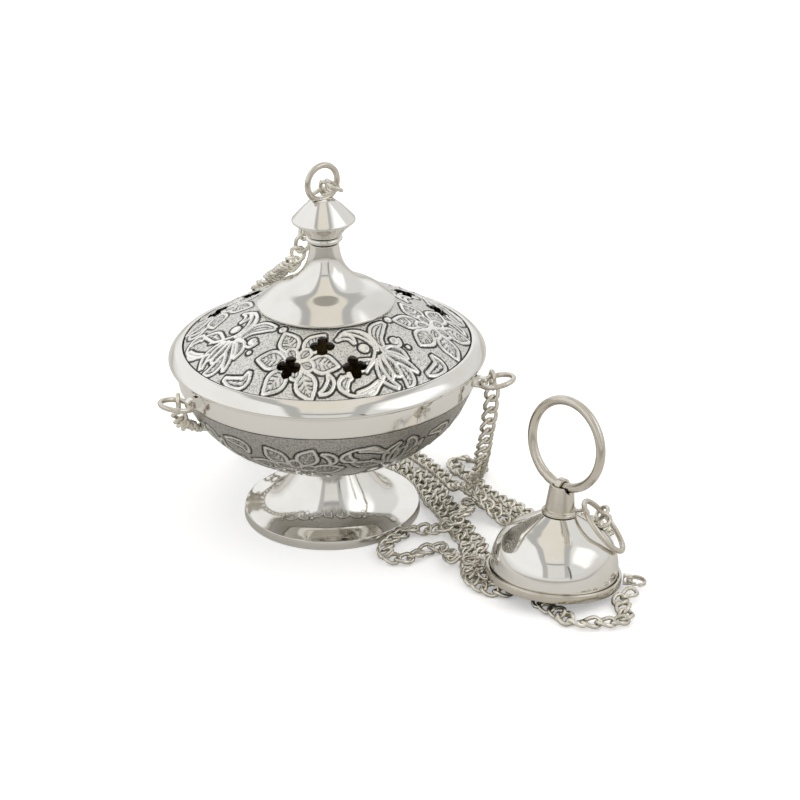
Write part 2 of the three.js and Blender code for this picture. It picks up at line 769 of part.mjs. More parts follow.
// Chains: each lies or hangs along points chosen by hand
const sideChain1 = [
  [61.4, -19.4, 57.4], [60.8, -19, 50], [59.8, -17.6, 42], [58.8, -15, 34], [57.8, -11, 26],
  [57, -5.4, 18.6], [56.6, 2, 12], [57.2, 10, 7.6], [58.6, 18, 7.4], [59.8, 26, 4],
  [58.2, 33.4, 2.2], [52.4, 36.2, 2.2], [48.6, 31.4, 2.2], [51.2, 24.6, 2.2], [55.2, 18.6, 2.2],
  [58.6, 12, 2.2], [62, 5.6, 2.2], [66.2, 0.6, 2.2], [70.4, -4, 2.2], [74.6, -9.2, 2.2],
  [79.6, -13.6, 2.2], [86, -14.6, 2.2], [91, -10.4, 2.2], [96.6, -12, 2.2], [99, -18, 2.2],
  [103.6, -22.6, 2.2], [104.4, -29.4, 2.2], [99, -33, 2.2], [94.4, -28.8, 2.2], [90.4, -23, 2.2],
  [84.6, -20, 2.2], [78.2, -18.8, 2.2], [72.6, -14.8, 2.2], [66.8, -9.2, 2.2], [60.8, -3.8, 2.2],
  [55.6, 1.2, 2.2], [52.4, -4, 2.6], [52.4, -11, 4.6], [51.6, -17.6, 7], [48.2, -24.6, 7.6],
  [43, -26.6, 5.2], [37.2, -23.6, 2.6], [31.6, -22.4, 2.2], [25.8, -27.4, 2.2],
  [21.6, -33.2, 2.2], [20.8, -39.8, 2.2], [24.2, -45.4, 2.2], [29.6, -44.4, 2.2],
  [34.6, -39.8, 2.2], [39.6, -36.6, 2.2], [43.6, -39.6, 2.2], [45.2, -45.4, 2.8],
  [46.2, -50.2, 4.6],
];
const sideChain2 = [
  [-53.4, -35.9, 57.4], [-52.8, -31, 52.4], [-51, -22.6, 47.4], [-49.6, -13.4, 42.4],
  [-46.6, -3.6, 37.4], [-43.6, 8.4, 32.2], [-41.8, 19.6, 27], [-40, 30.4, 20.4],
  [-38.4, 40.6, 12.6], [-36.2, 47.6, 6], [-32.4, 51.2, 2.4], [-26.2, 50.4, 2.2],
  [-18.4, 47.8, 2.2], [-9.4, 45.4, 2.2], [0, 43, 2.2], [9.8, 39.4, 2.2], [19, 33.6, 2.2],
  [27.6, 26.2, 2.2],
  [32.6, 18.6, 2.2], [36.2, 9.4, 2.2], [38.8, 0.4, 2.2], [41.8, -8.4, 2.2], [45, -17, 2.2],
  [48, -25.4, 2.2], [50.4, -33, 2.2], [51.8, -40.4, 2.2], [51.6, -48, 2.2], [51.4, -55.6, 2.2],
  [53, -63, 2.2], [58.4, -68.4, 2.2], [65.2, -70.4, 2.2], [71.4, -67, 2.2], [78, -65, 2.2],
  [85.6, -64.2, 2.2], [91.6, -67.2, 2.2], [90, -72.6, 2.2], [83.6, -71, 2.2], [77.4, -73.4, 2.2],
  [76.4, -79.6, 2.2], [81, -84, 2.2], [84.2, -89.2, 2.2], [89, -93, 2.2], [94.6, -92.2, 2.2],
  [100.2, -92.6, 2.2], [105.4, -90.4, 2.2], [105.6, -84, 2.2], [104.8, -78, 2.2],
  [108.4, -73.9, 2.6],
];
const sideChain3 = [
  [-4.4, 64.3, 57.4], [-4.6, 64.6, 46], [-4.8, 65.2, 32], [-4.8, 66.4, 19], [-4.6, 69.4, 9],
  [-4.2, 75.6, 3.2], [-6, 84, 2.2], [-3.6, 93, 2.2], [1.6, 101, 2.2], [5, 110, 2.2],
  [13, 116, 2.2], [22.6, 114.6, 2.2], [31, 121, 2.2], [41, 119.4, 2.2], [47, 111, 2.2],
  [44, 101, 2.2], [48, 91, 2.2], [46, 80, 2.2], [37, 74.6, 2.2], [30, 82, 2.2], [29.6, 93, 2.2],
  [22.6, 101, 2.2], [13.4, 96.4, 2.2], [15.4, 86, 2.2], [12, 76, 2.2], [16.4, 62, 2.2],
  [23, 54.4, 2.2], [29.2, 45.8, 2.2], [34.6, 37.6, 2.2], [39.4, 29.8, 2.2], [43.8, 21.6, 2.2],
  [47.6, 13.4, 2.2], [50.8, 5.6, 5.6], [54.2, -1, 7.6], [58.4, -6.6, 6.6], [62.6, -12, 3.8],
  [67.4, -17, 2.2], [72.6, -21.4, 2.2], [78, -25.2, 2.2], [81.4, -26.4, 2.2],
];
const lidChainTop = [
  [2.2, 11.6, 129.6], [-0.6, 13.6, 126.4], [-3.2, 14.4, 121.8], [-5.2, 11.6, 116],
  [-7, 6.6, 111.4], [-8.9, 4.2, 107.6], [-11, 5, 103.4], [-13.2, 9, 98.8], [-15, 14.6, 95.6],
  [-16.8, 21, 92.6], [-18.6, 27.4, 88.6], [-20.4, 34, 85], [-22.2, 40.6, 81.4],
  [-24.4, 46.8, 76.9], [-26.8, 51.6, 73.7], [-29.5, 55.8, 69.8], [-30.2, 57, 62],
  [-30.6, 57.8, 50], [-30.6, 58.2, 38], [-30.4, 58.4, 26], [-30.2, 58.4, 12.7],
];
const lidChainFloor = [
  [-30.2, 58.4, 11.8], [-28.8, 58.4, 4.8], [-22.4, 57, 2.2], [-12, 54.6, 2.2], [-1, 52, 2.2],
  [9, 48.2, 2.2], [18, 42.6, 2.2], [26, 35.4, 2.2], [32.6, 27.4, 2.2], [37.8, 18.6, 2.2],
  [41.6, 9.4, 2.2], [44.8, 0, 2.2], [47.6, -9.4, 2.2], [50.4, -18, 2.2], [53.2, -26.4, 2.2],
  [55.8, -34, 2.2], [57, -41, 2.2], [56.4, -48, 2.2], [55.8, -54, 2.2], [58.6, -59.4, 2.2],
  [65, -61.4, 2.2], [71, -60.4, 2.5], [76, -58.6, 3.2],
];

function chainTube(points) {
  const curve = new THREE.CatmullRomCurve3(points.map((p) => new THREE.Vector3(...p)));
  const section = new THREE.Shape();
  for (let i = 0; i < 8; i += 1) {
    const turn = (i * Math.PI) / 4;
    const corner = [Math.cos(turn) * chainRadius, Math.sin(turn) * chainRadius];
    if (i === 0) section.moveTo(...corner);
    else section.lineTo(...corner);
  }
  section.closePath();
  const steps = Math.round(curve.getLength() / chainStep);
  return new THREE.ExtrudeGeometry(section, { steps, extrudePath: curve, bevelEnabled: false });
}

function buildChains() {
  [sideChain1, sideChain2, sideChain3].forEach((points, i) => {
    addPart(burner, `side_chain_${i + 1}`, chainTube(points), wireMetal);
  });
  addPart(burner, 'lid_chain_top', chainTube(lidChainTop), wireMetal);
  addPart(burner, 'lid_chain_floor', chainTube(lidChainFloor), wireMetal);
}

// The cap leans towards one side, whose rim rests on the table
function layHandCap() {
  const axis = radial(capLeanAzimuth, Math.sin(capLean * degrees), Math.cos(capLean * degrees));
  handCap.quaternion.setFromUnitVectors(up, axis);
  handCap.position.set(capPlace.x, capPlace.y, capRadius * Math.sin(capLean * degrees));
}

buildFoot();
buildBowl();
buildFootBolt();
buildCoalCup();
buildSideRings();
buildLidRim();
buildLidShell();
buildSpire();
buildFinial();
buildSpireRod();
buildTopLink();
buildCapDome();
buildCollar();
buildEyeBolt();
buildFingerRing();
buildLift();
buildCapLugs();
buildChains();
layHandCap();
burner.add(handCap);

// The origin is under the middle of everything but the chains, on the table
const onChains = /chain/;
const bounds = new THREE.Box3();
const thing = new THREE.Group();
thing.add(burner);
thing.updateMatrixWorld(true);
thing.traverse((node) => {
  if (node.isMesh && !onChains.test(node.name)) bounds.expandByObject(node, true);
});
const middle = bounds.getCenter(new THREE.Vector3());
burner.position.set(-middle.x, -middle.y, -bounds.min.z);

export default thing;
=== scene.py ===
import math
from functools import partialmethod

import bmesh
import bpy
import numpy as np
from mathutils import Matrix, Vector


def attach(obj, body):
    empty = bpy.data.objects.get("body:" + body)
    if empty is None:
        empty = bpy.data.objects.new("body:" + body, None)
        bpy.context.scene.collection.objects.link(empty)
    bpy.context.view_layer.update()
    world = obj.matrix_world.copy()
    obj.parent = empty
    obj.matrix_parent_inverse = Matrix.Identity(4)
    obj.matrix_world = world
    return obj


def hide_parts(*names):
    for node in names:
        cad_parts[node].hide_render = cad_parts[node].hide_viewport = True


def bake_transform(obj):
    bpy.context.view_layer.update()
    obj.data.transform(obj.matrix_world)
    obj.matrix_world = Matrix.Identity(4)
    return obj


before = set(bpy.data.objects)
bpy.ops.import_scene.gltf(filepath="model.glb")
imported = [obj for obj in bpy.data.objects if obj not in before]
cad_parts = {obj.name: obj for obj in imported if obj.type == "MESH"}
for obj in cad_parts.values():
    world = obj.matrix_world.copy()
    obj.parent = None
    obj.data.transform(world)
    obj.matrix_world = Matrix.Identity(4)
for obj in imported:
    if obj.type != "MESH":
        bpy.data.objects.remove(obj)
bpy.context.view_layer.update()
scene = bpy.context.scene

# The camera looks down a little on the burner and the hand cap that lies in front of it.
# Its lens is a short telephoto, level to within a degree.
MM = 0.001
BURNER = Vector((-27.822, 5.866, 0)) * MM
CAMERA_ELEVATION = math.radians(25.183)
CAMERA_ROLL = math.radians(-0.8623)
CAMERA_DISTANCE = 800.16 * MM
CAMERA_AIM = Vector((27.129, 0, 54)) * MM
CAMERA_DROP = -7.109 * MM
CAMERA_LENS = 94.525

back = Vector((0, -math.cos(CAMERA_ELEVATION), math.sin(CAMERA_ELEVATION)))
right = Vector((1, 0, 0))
upright = back.cross(right)
turned_right = right * math.cos(CAMERA_ROLL) + upright * math.sin(CAMERA_ROLL)
turned_up = upright * math.cos(CAMERA_ROLL) - right * math.sin(CAMERA_ROLL)
camera_place = BURNER + CAMERA_AIM + upright * CAMERA_DROP + back * CAMERA_DISTANCE


def add_object(name, data):
    """A new object in the scene."""
    made = bpy.data.objects.new(name, data)
    scene.collection.objects.link(made)
    return made


camera = add_object("camera", bpy.data.cameras.new("camera"))
camera.data.lens = CAMERA_LENS
camera.data.sensor_width = 36
camera.data.clip_start = 0.01
camera.matrix_world = Matrix.Translation(camera_place) @ Matrix(
    (turned_right, turned_up, back)
).transposed().to_4x4()
scene.camera = camera


# The chains are curb links of bent round wire, closed with a butt joint and silver plated.
# Three run from the bowl's side rings to the hand cap, and a fourth from the lid to inside it.
LINK_HALF_LENGTH = 3.45 * MM
LINK_HALF_WIDTH = 2.55 * MM
LINK_WIRE = 0.8 * MM
LINK_TWIST = math.radians(34)
LINK_PITCH = 4.95 * MM
LINK_ROLL = math.radians(11)
CHAIN_ON_TABLE = 2.2
TABLE_GAP = 0.1 * MM
LYING_FACE = (0.0, 0.0, 1.0)
HANGING_FACE = (0.35, -0.94, 0.0)
LID_CHAIN_FACE = (0.3, -0.9, 0.2)
STEEP = 0.8
CHAIN_COLOUR = (0.95, 0.915, 0.815)
# Dark tarnish, which is also painted shade in the hollows between the links
CHAIN_TARNISH_AND_SHADE = (0.08, 0.066, 0.042)


def add_node(tree, kind, inputs, settings):
    """A node with its settings and inputs: a socket is linked, all else is a constant."""
    made = tree.nodes.new(kind)
    for key, value in settings.items():
        setattr(made, key, value)
    for key, value in inputs.items() if isinstance(inputs, dict) else enumerate(inputs):
        value = getattr(value, "socket", value)
        if isinstance(value, bpy.types.NodeSocket):
            tree.links.new(value, made.inputs[key])
        else:
            made.inputs[key].default_value = value
    return made


class Shade:
    """A shader socket that can stand in a sum."""

    def __init__(self, finish, socket):
        self.finish = finish
        self.socket = socket

    def math(self, operation, *others):
        return self.finish.node("Math", [self, *others], operation=operation)

    __add__ = partialmethod(math, "ADD")
    __sub__ = partialmethod(math, "SUBTRACT")
    __mul__ = partialmethod(math, "MULTIPLY")
    __truediv__ = partialmethod(math, "DIVIDE")
    __pow__ = partialmethod(math, "POWER")

    def __rsub__(self, other):
        return self.finish.node("Math", [other, self], operation="SUBTRACT")

    def clamp(self, low=0.0, high=1.0):
        return self.math("MAXIMUM", low).math("MINIMUM", high)

    def split(self):
        parts = add_node(self.finish.tree, "ShaderNodeSeparateXYZ", [self], {})
        return [Shade(self.finish, output) for output in parts.outputs]


class Finish:
    """A material, its places on the object, and the one way to add a node to it."""

    def __init__(self, name, tree=None):
        self.material = None if tree else bpy.data.materials.new(name)
        if self.material:
            self.material.use_nodes = True
            tree = self.material.node_tree
        self.tree = tree
        tree.nodes.clear()
        self.place = self.node("TexCoord", output=3)

    def node(self, kind, inputs=(), output=0, **settings):
        made = add_node(self.tree, "ShaderNode" + kind, inputs, settings)
        return Shade(self, made.outputs[output]) if made.outputs else made

    def blend(self, factor, first, second):
        first, second = ((*c, 1) if isinstance(c, tuple) else c for c in (first, second))
        return self.node("Mix", {0: factor, 6: first, 7: second}, 2, data_type="RGBA")

    def noise(self, scale, detail, roughness):
        inputs = {"Scale": scale, "Detail": detail, "Roughness": roughness}
        return self.node("TexNoise", {"Vector": self.place, **inputs})

    def metal(self, colour, roughness, grain, strength, depth):
        """The finished material, its grain a bump of some strength and depth."""
        bump = self.node("Bump", {"Strength": strength, "Distance": depth, "Height": grain})
        inputs = {"Base Color": colour, "Metallic": 1.0, "Roughness": roughness, "Normal": bump}
        self.node("OutputMaterial", {"Surface": self.node("BsdfPrincipled", inputs)})
        return self.material


def plated_wire(name, colour, tarnish_and_shade, roughness, film):
    """Plated wire that hands have worn bright, with tarnish and painted shade between the links.
    """
    finish = Finish(name)
    smudge = finish.noise(160.0, 4.0, 0.6)
    speck = finish.noise(900.0, 2.0, 0.5)
    draw = finish.noise(2600.0, 2.0, 0.5)
    # The hollows between links take the tarnish colour: part real tarnish, part painted shade.
    worn_and_out_of_shade = ((finish.node("NewGeometry", output="Pointiness") - 0.47) * 12.0).clamp()
    dull_and_shaded = (smudge * 1.5 - 0.42).clamp() * film
    dull_and_shaded = (dull_and_shaded + (1.0 - worn_and_out_of_shade) * film * 0.55 + (speck - 0.62).clamp() * 1.2).clamp()
    rough = (dull_and_shaded * 0.25 + smudge * 0.08 + roughness).clamp(0.05, 0.6)
    shade = finish.blend(dull_and_shaded, colour, tarnish_and_shade)
    return finish.metal(shade, rough, draw + speck, strength=0.12, depth=0.05 * MM)


chain_finish = plated_wire("chain silver", CHAIN_COLOUR, CHAIN_TARNISH_AND_SHADE, 0.12, 0.6)


def link_tree():
    """Geometry nodes: a curb link of twisted wire on every point of a chain's line."""
    tree = bpy.data.node_groups.new("curb links", "GeometryNodeTree")
    sizes = {
        "Half length": LINK_HALF_LENGTH,
        "Half width": LINK_HALF_WIDTH,
        "Wire": LINK_WIRE,
        "Twist": LINK_TWIST,
    }
    face = tree.interface
    face.new_socket("Geometry", in_out="INPUT", socket_type="NodeSocketGeometry")
    for name, value in sizes.items():
        socket = face.new_socket(name, in_out="INPUT", socket_type="NodeSocketFloat")
        socket.default_value = value
    face.new_socket("Geometry", in_out="OUTPUT", socket_type="NodeSocketGeometry")

    def add(kind, inputs=(), **settings):
        return add_node(tree, kind, inputs, settings).outputs[0]

    given = tree.nodes.new("NodeGroupInput").outputs
    circle = add("GeometryNodeCurvePrimitiveCircle", {"Resolution": 12, "Radius": 1.0})
    place = add("GeometryNodeInputPosition")
    halves = add("ShaderNodeCombineXYZ", [given["Half length"], given["Half width"], 1.0])
    stretched = add("ShaderNodeVectorMath", [place, halves], operation="MULTIPLY")
    along = add("ShaderNodeSeparateXYZ", [place])
    turn = add("ShaderNodeMath", [along, given["Twist"]], operation="MULTIPLY")
    twisted = add(
        "ShaderNodeVectorRotate", {"Vector": stretched, "Angle": turn}, rotation_type="X_AXIS"
    )
    bent = add("GeometryNodeSetPosition", {"Geometry": circle, "Position": twisted})
    section = add("GeometryNodeCurvePrimitiveCircle", {"Resolution": 5, "Radius": given["Wire"]})
    link = add("GeometryNodeCurveToMesh", {"Curve": bent, "Profile Curve": section})
    axes = [
        add("GeometryNodeInputNamedAttribute", {"Name": name}, data_type="FLOAT_VECTOR")
        for name in ("along", "face")
    ]
    aim = add("FunctionNodeAxesToRotation", axes, primary_axis="X", secondary_axis="Z")
    copies = add(
        "GeometryNodeInstanceOnPoints",
        {"Points": given["Geometry"], "Instance": link, "Rotation": aim},
    )
    real = add("GeometryNodeRealizeInstances", [copies])
    rounded = add("GeometryNodeSetShadeSmooth", [real])
    plated = add("GeometryNodeSetMaterial", {"Geometry": rounded, "Material": chain_finish})
    add_node(tree, "NodeGroupOutput", [plated], {})
    return tree


curb_links = link_tree()


def evenly(line, step):
    """Points an even step apart on a line, and the line's length."""
    line = np.array(line)
    run = np.concatenate([[0], np.cumsum(np.linalg.norm(np.diff(line, axis=0), axis=1))])
    wanted = np.linspace(0, run[-1], max(2, round(run[-1] / step) + 1))
    return np.stack([np.interp(wanted, run, across) for across in line.T], 1), run[-1]


def line_through(knots, step):
    """Points a step apart on a smooth line through a chain's listed points."""
    padded = np.vstack([2 * knots[0] - knots[1], knots, 2 * knots[-1] - knots[-2]])
    fine = []
    for a, b, c, d in zip(padded, padded[1:], padded[2:], padded[3:]):
        bend = 2 * a - 5 * b + 4 * c - d
        turn = 3 * b - a - 3 * c + d
        for t in np.arange(0, 1, 0.05):
            fine.append(0.5 * (2 * b + (c - a) * t + bend * t * t + turn * t**3))
    return evenly([*fine, knots[-1]], step)


def directions(line):
    """A line's direction at each of its points."""
    along = np.gradient(line, axis=0)
    return along / np.linalg.norm(along, axis=1)[:, None]


def evaluated(piece):
    """The mesh that a piece's modifiers make of it."""
    bpy.context.view_layer.update()
    graph = bpy.context.evaluated_depsgraph_get()
    return bpy.data.meshes.new_from_object(piece.evaluated_get(graph))


def chain(name, points, seed, facing=LYING_FACE):
    """One stretch of chain as a mesh of links, with its line and length in metres. A point
    without a height lies on the table."""
    knots = np.array([(*p, CHAIN_ON_TABLE)[:3] for p in points]) * MM + np.array(BURNER)
    line, length = line_through(knots, LINK_PITCH)
    along = directions(line)
    spread = np.random.default_rng(seed)
    face = np.array(HANGING_FACE if abs(along[0, 2]) > STEEP else facing)
    faces = []
    for tangent in along:
        flat = np.array(facing) * (1 - abs(tangent[2])) * 0.5 + face
        flat = flat - tangent * (flat @ tangent)
        face = flat / np.linalg.norm(flat)
        roll = spread.normal(0, LINK_ROLL)
        faces.append(face * math.cos(roll) + np.cross(tangent, face) * math.sin(roll))
    mesh = bpy.data.meshes.new(name)
    mesh.from_pydata(line.tolist(), [], [])
    for key, values in (("along", along), ("face", np.array(faces))):
        attribute = mesh.attributes.new(key, "FLOAT_VECTOR", "POINT")
        attribute.data.foreach_set("vector", values.astype(np.float32).ravel())
    made = add_object(name, mesh)
    made.modifiers.new("links", "NODES").node_group = curb_links
    made.data = evaluated(made)
    made.modifiers.clear()
    for vertex in made.data.vertices:
        vertex.co.z = max(vertex.co.z, TABLE_GAP)
    return made, line_through(knots, 2 * MM)[0].tolist(), length


SIDE_CHAIN_1 = [
    (61.4, -19.4, 57.9), (60.8, -19, 50), (59.8, -17.6, 42), (58.8, -15, 34), (57.8, -11, 26),
    (57, -5.4, 18.6), (56.6, 2, 12), (57.2, 10, 7.6), (58.6, 18, 7.4), (59.8, 26, 4), (58.2, 33.4),
    (52.4, 36.2), (48.6, 31.4), (51.2, 24.6), (55.2, 18.6), (58.6, 12), (62, 5.6), (66.2, 0.6),
    (70.4, -4), (74.6, -9.2), (79.6, -13.6), (86, -14.6), (91, -10.4), (96.6, -12), (99, -18),
    (103.6, -22.6), (104.4, -29.4), (99, -33), (94.4, -28.8), (90.4, -23), (84.6, -20),
    (78.2, -18.8), (72.6, -14.8), (66.8, -9.2), (60.8, -3.8), (55.6, 1.2), (52.4, -4, 2.6),
    (52.4, -11, 4.6), (51.6, -17.6, 7), (48.2, -24.6, 7.6), (43, -26.6, 5.2), (37.2, -23.6, 2.6),
    (31.6, -22.4), (25.8, -27.4), (21.6, -33.2), (20.8, -39.8), (24.2, -45.4), (29.6, -44.4),
    (34.6, -39.8), (39.6, -36.6), (43.6, -39.6), (45.2, -45.4, 2.8), (46.2, -50.2, 4.6),
]
SIDE_CHAIN_2 = [
    (-53.4, -35.9, 57.9), (-52.8, -31, 52.4), (-51, -22.6, 47.4), (-49.6, -13.4, 42.4),
    (-46.6, -3.6, 37.4), (-43.6, 8.4, 32.2), (-41.8, 19.6, 27), (-40, 30.4, 20.4),
    (-38.4, 40.6, 12.6), (-36.2, 47.6, 6), (-32.4, 51.2, 2.4), (-26.2, 50.4), (-18.4, 47.8),
    (-9.4, 45.4), (0, 43), (9.8, 39.4), (19, 33.6), (27.6, 26.2), (32.6, 18.6), (36.2, 9.4),
    (38.8, 0.4), (41.8, -8.4), (45, -17), (48, -25.4), (50.4, -33), (51.8, -40.4), (51.6, -48),
    (51.4, -55.6), (53, -63), (58.4, -68.4), (65.2, -70.4), (71.4, -67), (78, -65), (85.6, -64.2),
    (91.6, -67.2), (90, -72.6), (83.6, -71), (77.4, -73.4), (76.4, -79.6), (81, -84),
    (84.2, -89.2), (89, -93), (94.6, -92.2), (100.2, -92.6), (105.4, -90.4), (105.6, -84),
    (104.8, -78), (108.4, -73.9, 2.6),
]
SIDE_CHAIN_3 = [
    (-4.4, 64.3, 57.9), (-4.6, 64.6, 46), (-4.8, 65.2, 32), (-4.8, 66.4, 19), (-4.6, 69.4, 9),
    (-4.2, 75.6, 3.2), (-6, 84), (-3.6, 93), (1.6, 101), (5, 110), (13, 116), (22.6, 114.6),
    (31, 121), (41, 119.4), (47, 111), (44, 101), (48, 91), (46, 80), (37, 74.6), (30, 82),
    (29.6, 93), (22.6, 101), (13.4, 96.4), (15.4, 86), (12, 76), (16.4, 62), (23, 54.4),
    (29.2, 45.8), (34.6, 37.6), (39.4, 29.8), (43.8, 21.6), (47.6, 13.4), (50.8, 5.6, 5.6),
    (54.2, -1, 7.6), (58.4, -6.6, 6.6), (62.6, -12, 3.8), (67.4, -17), (72.6, -21.4), (78, -25.2),
    (81.4, -26.4),
]
LID_CHAIN_TOP = [
    (2.9, 9.3, 129.9), (2.2, 11.6, 129.4), (-0.6, 13.6, 126.4), (-3.2, 14.4, 121.8),
    (-5.2, 11.6, 116), (-7, 6.6, 111.4), (-8.9, 4.2, 107.6), (-11, 5, 103.4), (-13.2, 9, 98.8),
    (-15, 14.6, 95.6), (-16.8, 21, 92.6), (-18.6, 27.4, 88.6), (-20.4, 34, 85),
    (-22.2, 40.6, 81.4), (-24.4, 46.8, 76.9), (-26.8, 51.6, 73.7), (-29.5, 55.8, 69.8),
    (-30.2, 57, 62), (-30.6, 57.8, 50), (-30.6, 58.2, 38), (-30.4, 58.4, 26), (-30.2, 58.4, 12.7),
]
LID_CHAIN_FLOOR = [
    (-30.2, 58.4, 11.8), (-28.8, 58.4, 4.8), (-22.4, 57), (-12, 54.6), (-1, 52), (9, 48.2),
    (18, 42.6), (26, 35.4), (32.6, 27.4), (37.8, 18.6), (41.6, 9.4), (44.8, 0), (47.6, -9.4),
    (50.4, -18), (53.2, -26.4), (55.8, -34), (57, -41), (56.4, -48), (55.8, -54), (58.6, -59.4),
    (65, -61.4), (71, -60.4, 2.5), (76, -58.6, 3.2),
]

# Each stretch: name, the CAD node that it stands for, its points, and the bodies it follows
STRETCHES = [
    ("side_chain_1_run", "side_chain_1", SIDE_CHAIN_1[:46], ["burner"]),
    ("side_chain_1_end", None, SIDE_CHAIN_1[45:], ["burner", "hand_cap"]),
    ("side_chain_2_run", "side_chain_2", SIDE_CHAIN_2[:41], ["burner"]),
    ("side_chain_2_end", None, SIDE_CHAIN_2[40:], ["burner", "hand_cap"]),
    ("side_chain_3_run", "side_chain_3", SIDE_CHAIN_3[:34], ["burner"]),
    ("side_chain_3_end", None, SIDE_CHAIN_3[33:], ["burner", "hand_cap"]),
    ("lid_chain_drop", "lid_chain_top", LID_CHAIN_TOP, ["lid"]),
    ("lid_chain_rise", "lid_chain_floor", LID_CHAIN_FLOOR[:7], ["lid", "burner"]),
    ("lid_chain_run", None, LID_CHAIN_FLOOR[6:14], ["burner"]),
    ("lid_chain_end", None, LID_CHAIN_FLOOR[13:], ["burner", "hand_cap"]),
]
for seed, (name, node, points, bodies) in enumerate(STRETCHES):
    hangs = name == "lid_chain_drop"
    links, line, length = chain(name, points, seed, LID_CHAIN_FACE if hangs else LYING_FACE)
    if len(bodies) == 1:
        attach(links, bodies[0])
    else:
        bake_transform(links)
    if node:
        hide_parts(node)


# The foot is a spun trumpet of sheet brass, silver plated and polished, with a rolled edge.
# It is hollow underneath, and the bolt that holds the bowl passes through its flat top.
WALL = 1.2
SEAT_GAP = 0.32
SILVER = (0.87, 0.855, 0.82)
SILVER_FILM = (0.60, 0.52, 0.40)
FOOT_RADIUS = 34.4
FOOT_RIM_RADIUS = 33.9
FOOT_RIM_HEIGHT = 3.4
FOOT_NECK_RADIUS = 11.5
FOOT_HEIGHT = 23.7
BOLT_BORE = 2.22
TOUCHING = 1e-6
NEARLY_STRAIGHT = math.radians(160)
on_burner = Matrix.Translation(BURNER)


def polished_silver(name, centre, roughness=0.07):
    """Bright plate with the faint rings of the polishing wheel and a thin warm film."""
    finish = Finish(name)
    shifted = finish.node("VectorMath", [finish.place, tuple(centre)], operation="SUBTRACT")
    x, y, z = shifted.split()
    turned = finish.node("CombineXYZ", [(x * x + y * y) ** 0.5, z, 0.0])
    inputs = {"Vector": turned, "Scale": 2400.0, "Detail": 2.0}
    rings = finish.node("TexNoise", inputs, noise_dimensions="2D")
    smudge = finish.noise(46.0, 4.0, 0.6)
    streak = finish.noise(300.0, 3.0, 0.6)
    film = ((smudge - 0.46) * 2.4).clamp() * 0.30
    rough = (film * 0.25 + streak * 0.05 + roughness - 0.02).clamp(0.03, 0.5)
    colour = finish.blend(film, SILVER, SILVER_FILM)
    return finish.metal(colour, rough, rings + streak * 0.4, strength=0.05, depth=0.02 * MM)


def smooth(points, count):
    """A smooth line through a few points, as the spinner's former has it."""
    knots = [Vector(p) for p in points]
    made = []
    spans = len(knots) - 1
    for k in range(count * spans + 1):
        i = min(k // count, spans - 1)
        t = k / count - i
        b, c = knots[i], knots[i + 1]
        v0 = (c - knots[max(i - 1, 0)]) * 0.5
        v1 = (knots[min(i + 2, spans)] - b) * 0.5
        curve = (2 * b - 2 * c + v0 + v1) * t**3 + (-3 * b + 3 * c - 2 * v0 - v1) * t * t
        made.append(tuple(curve + v0 * t + b))
    return made


def shares(start, end, steps):
    """Points between two corners, by shares of the width and of the height."""
    return [
        (start[0] + (end[0] - start[0]) * across, start[1] + (end[1] - start[1]) * rise)
        for across, rise in steps
    ]


def flank(start, end, steps, count):
    return smooth(shares(start, end, steps), count)


def raised(base, profile):
    """A profile set on its base."""
    return [(radius, base + height) for radius, height in profile]


def lining(profile):
    """The sheet's inner face behind a profile, without its ends and from its last point on."""
    made = []
    for before, here, after in zip(profile, profile[1:], profile[2:]):
        along = (Vector(after) - Vector(before)).normalized()
        made.append((here[0] - along.y * WALL, here[1] + along.x * WALL))
    return made[::-1]


def eased(profile, size, steps=4):
    """A closed profile with its corners rounded, so that edges catch the light."""
    corners = [Vector(p) for p in profile]
    made = []
    for i, corner in enumerate(corners):
        before = corners[i - 1] - corner
        after = corners[(i + 1) % len(corners)] - corner
        fixed = min(corner.x, before.length, after.length) < TOUCHING
        if fixed or before.angle(after) > NEARLY_STRAIGHT:
            made.append(corner)
            continue
        reach = min(size, before.length * 0.45, after.length * 0.45)
        start = corner + before.normalized() * reach
        end = corner + after.normalized() * reach
        for k in range(steps + 1):
            t = k / steps
            made.append(start * (1 - t) ** 2 + corner * 2 * t * (1 - t) + end * t * t)
    return made


def skin(made, rows, closed=True):
    """Faces from each row of vertices to the next, and from the last to the first."""
    pairs = list(zip(rows, rows[1:]))
    if closed:
        pairs.append((rows[-1], rows[0]))
    for low, high in pairs:
        for i in range(len(low)):
            j = (i + 1) % len(low)
            corners = [low[i], low[j], high[j], high[i]]
            corners = [c for k, c in enumerate(corners) if c != corners[k - 1]]
            if len(set(corners)) > 2:
                made.faces.new(corners)


def settled(made, mesh=None):
    """The mesh of what has been made, with its faces turned outwards."""
    bmesh.ops.recalc_face_normals(made, faces=made.faces)
    mesh = mesh or bpy.data.meshes.new("made")
    made.to_mesh(mesh)
    made.free()
    return mesh


def spun_mesh(profile, place=on_burner, steps=160):
    """A closed profile of (radius, height) in millimetres, turned about its axis."""
    made = bmesh.new()
    turns = [math.tau * i / steps for i in range(steps)]
    rows = []
    for radius, height in profile:
        row = [
            made.verts.new((radius * MM * math.cos(t), radius * MM * math.sin(t), height * MM))
            for t in (turns if radius > TOUCHING else turns[:1])
        ]
        rows.append(row * (steps // len(row)))
    skin(made, rows, profile[0][0] > TOUCHING)
    mesh = settled(made)
    mesh.transform(place)
    return mesh


def put(name, mesh, material, body, node, crease=38):
    """A finished mesh as a piece of the object, with its material and body, in place of its CAD
    node.
    """
    piece = add_object(name, mesh)
    mesh.name = name
    mesh.materials.clear()
    mesh.materials.append(material)
    for polygon in mesh.polygons:
        polygon.use_smooth = True
    mesh.set_sharp_from_angle(angle=math.radians(crease))
    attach(piece, body)
    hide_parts(node)


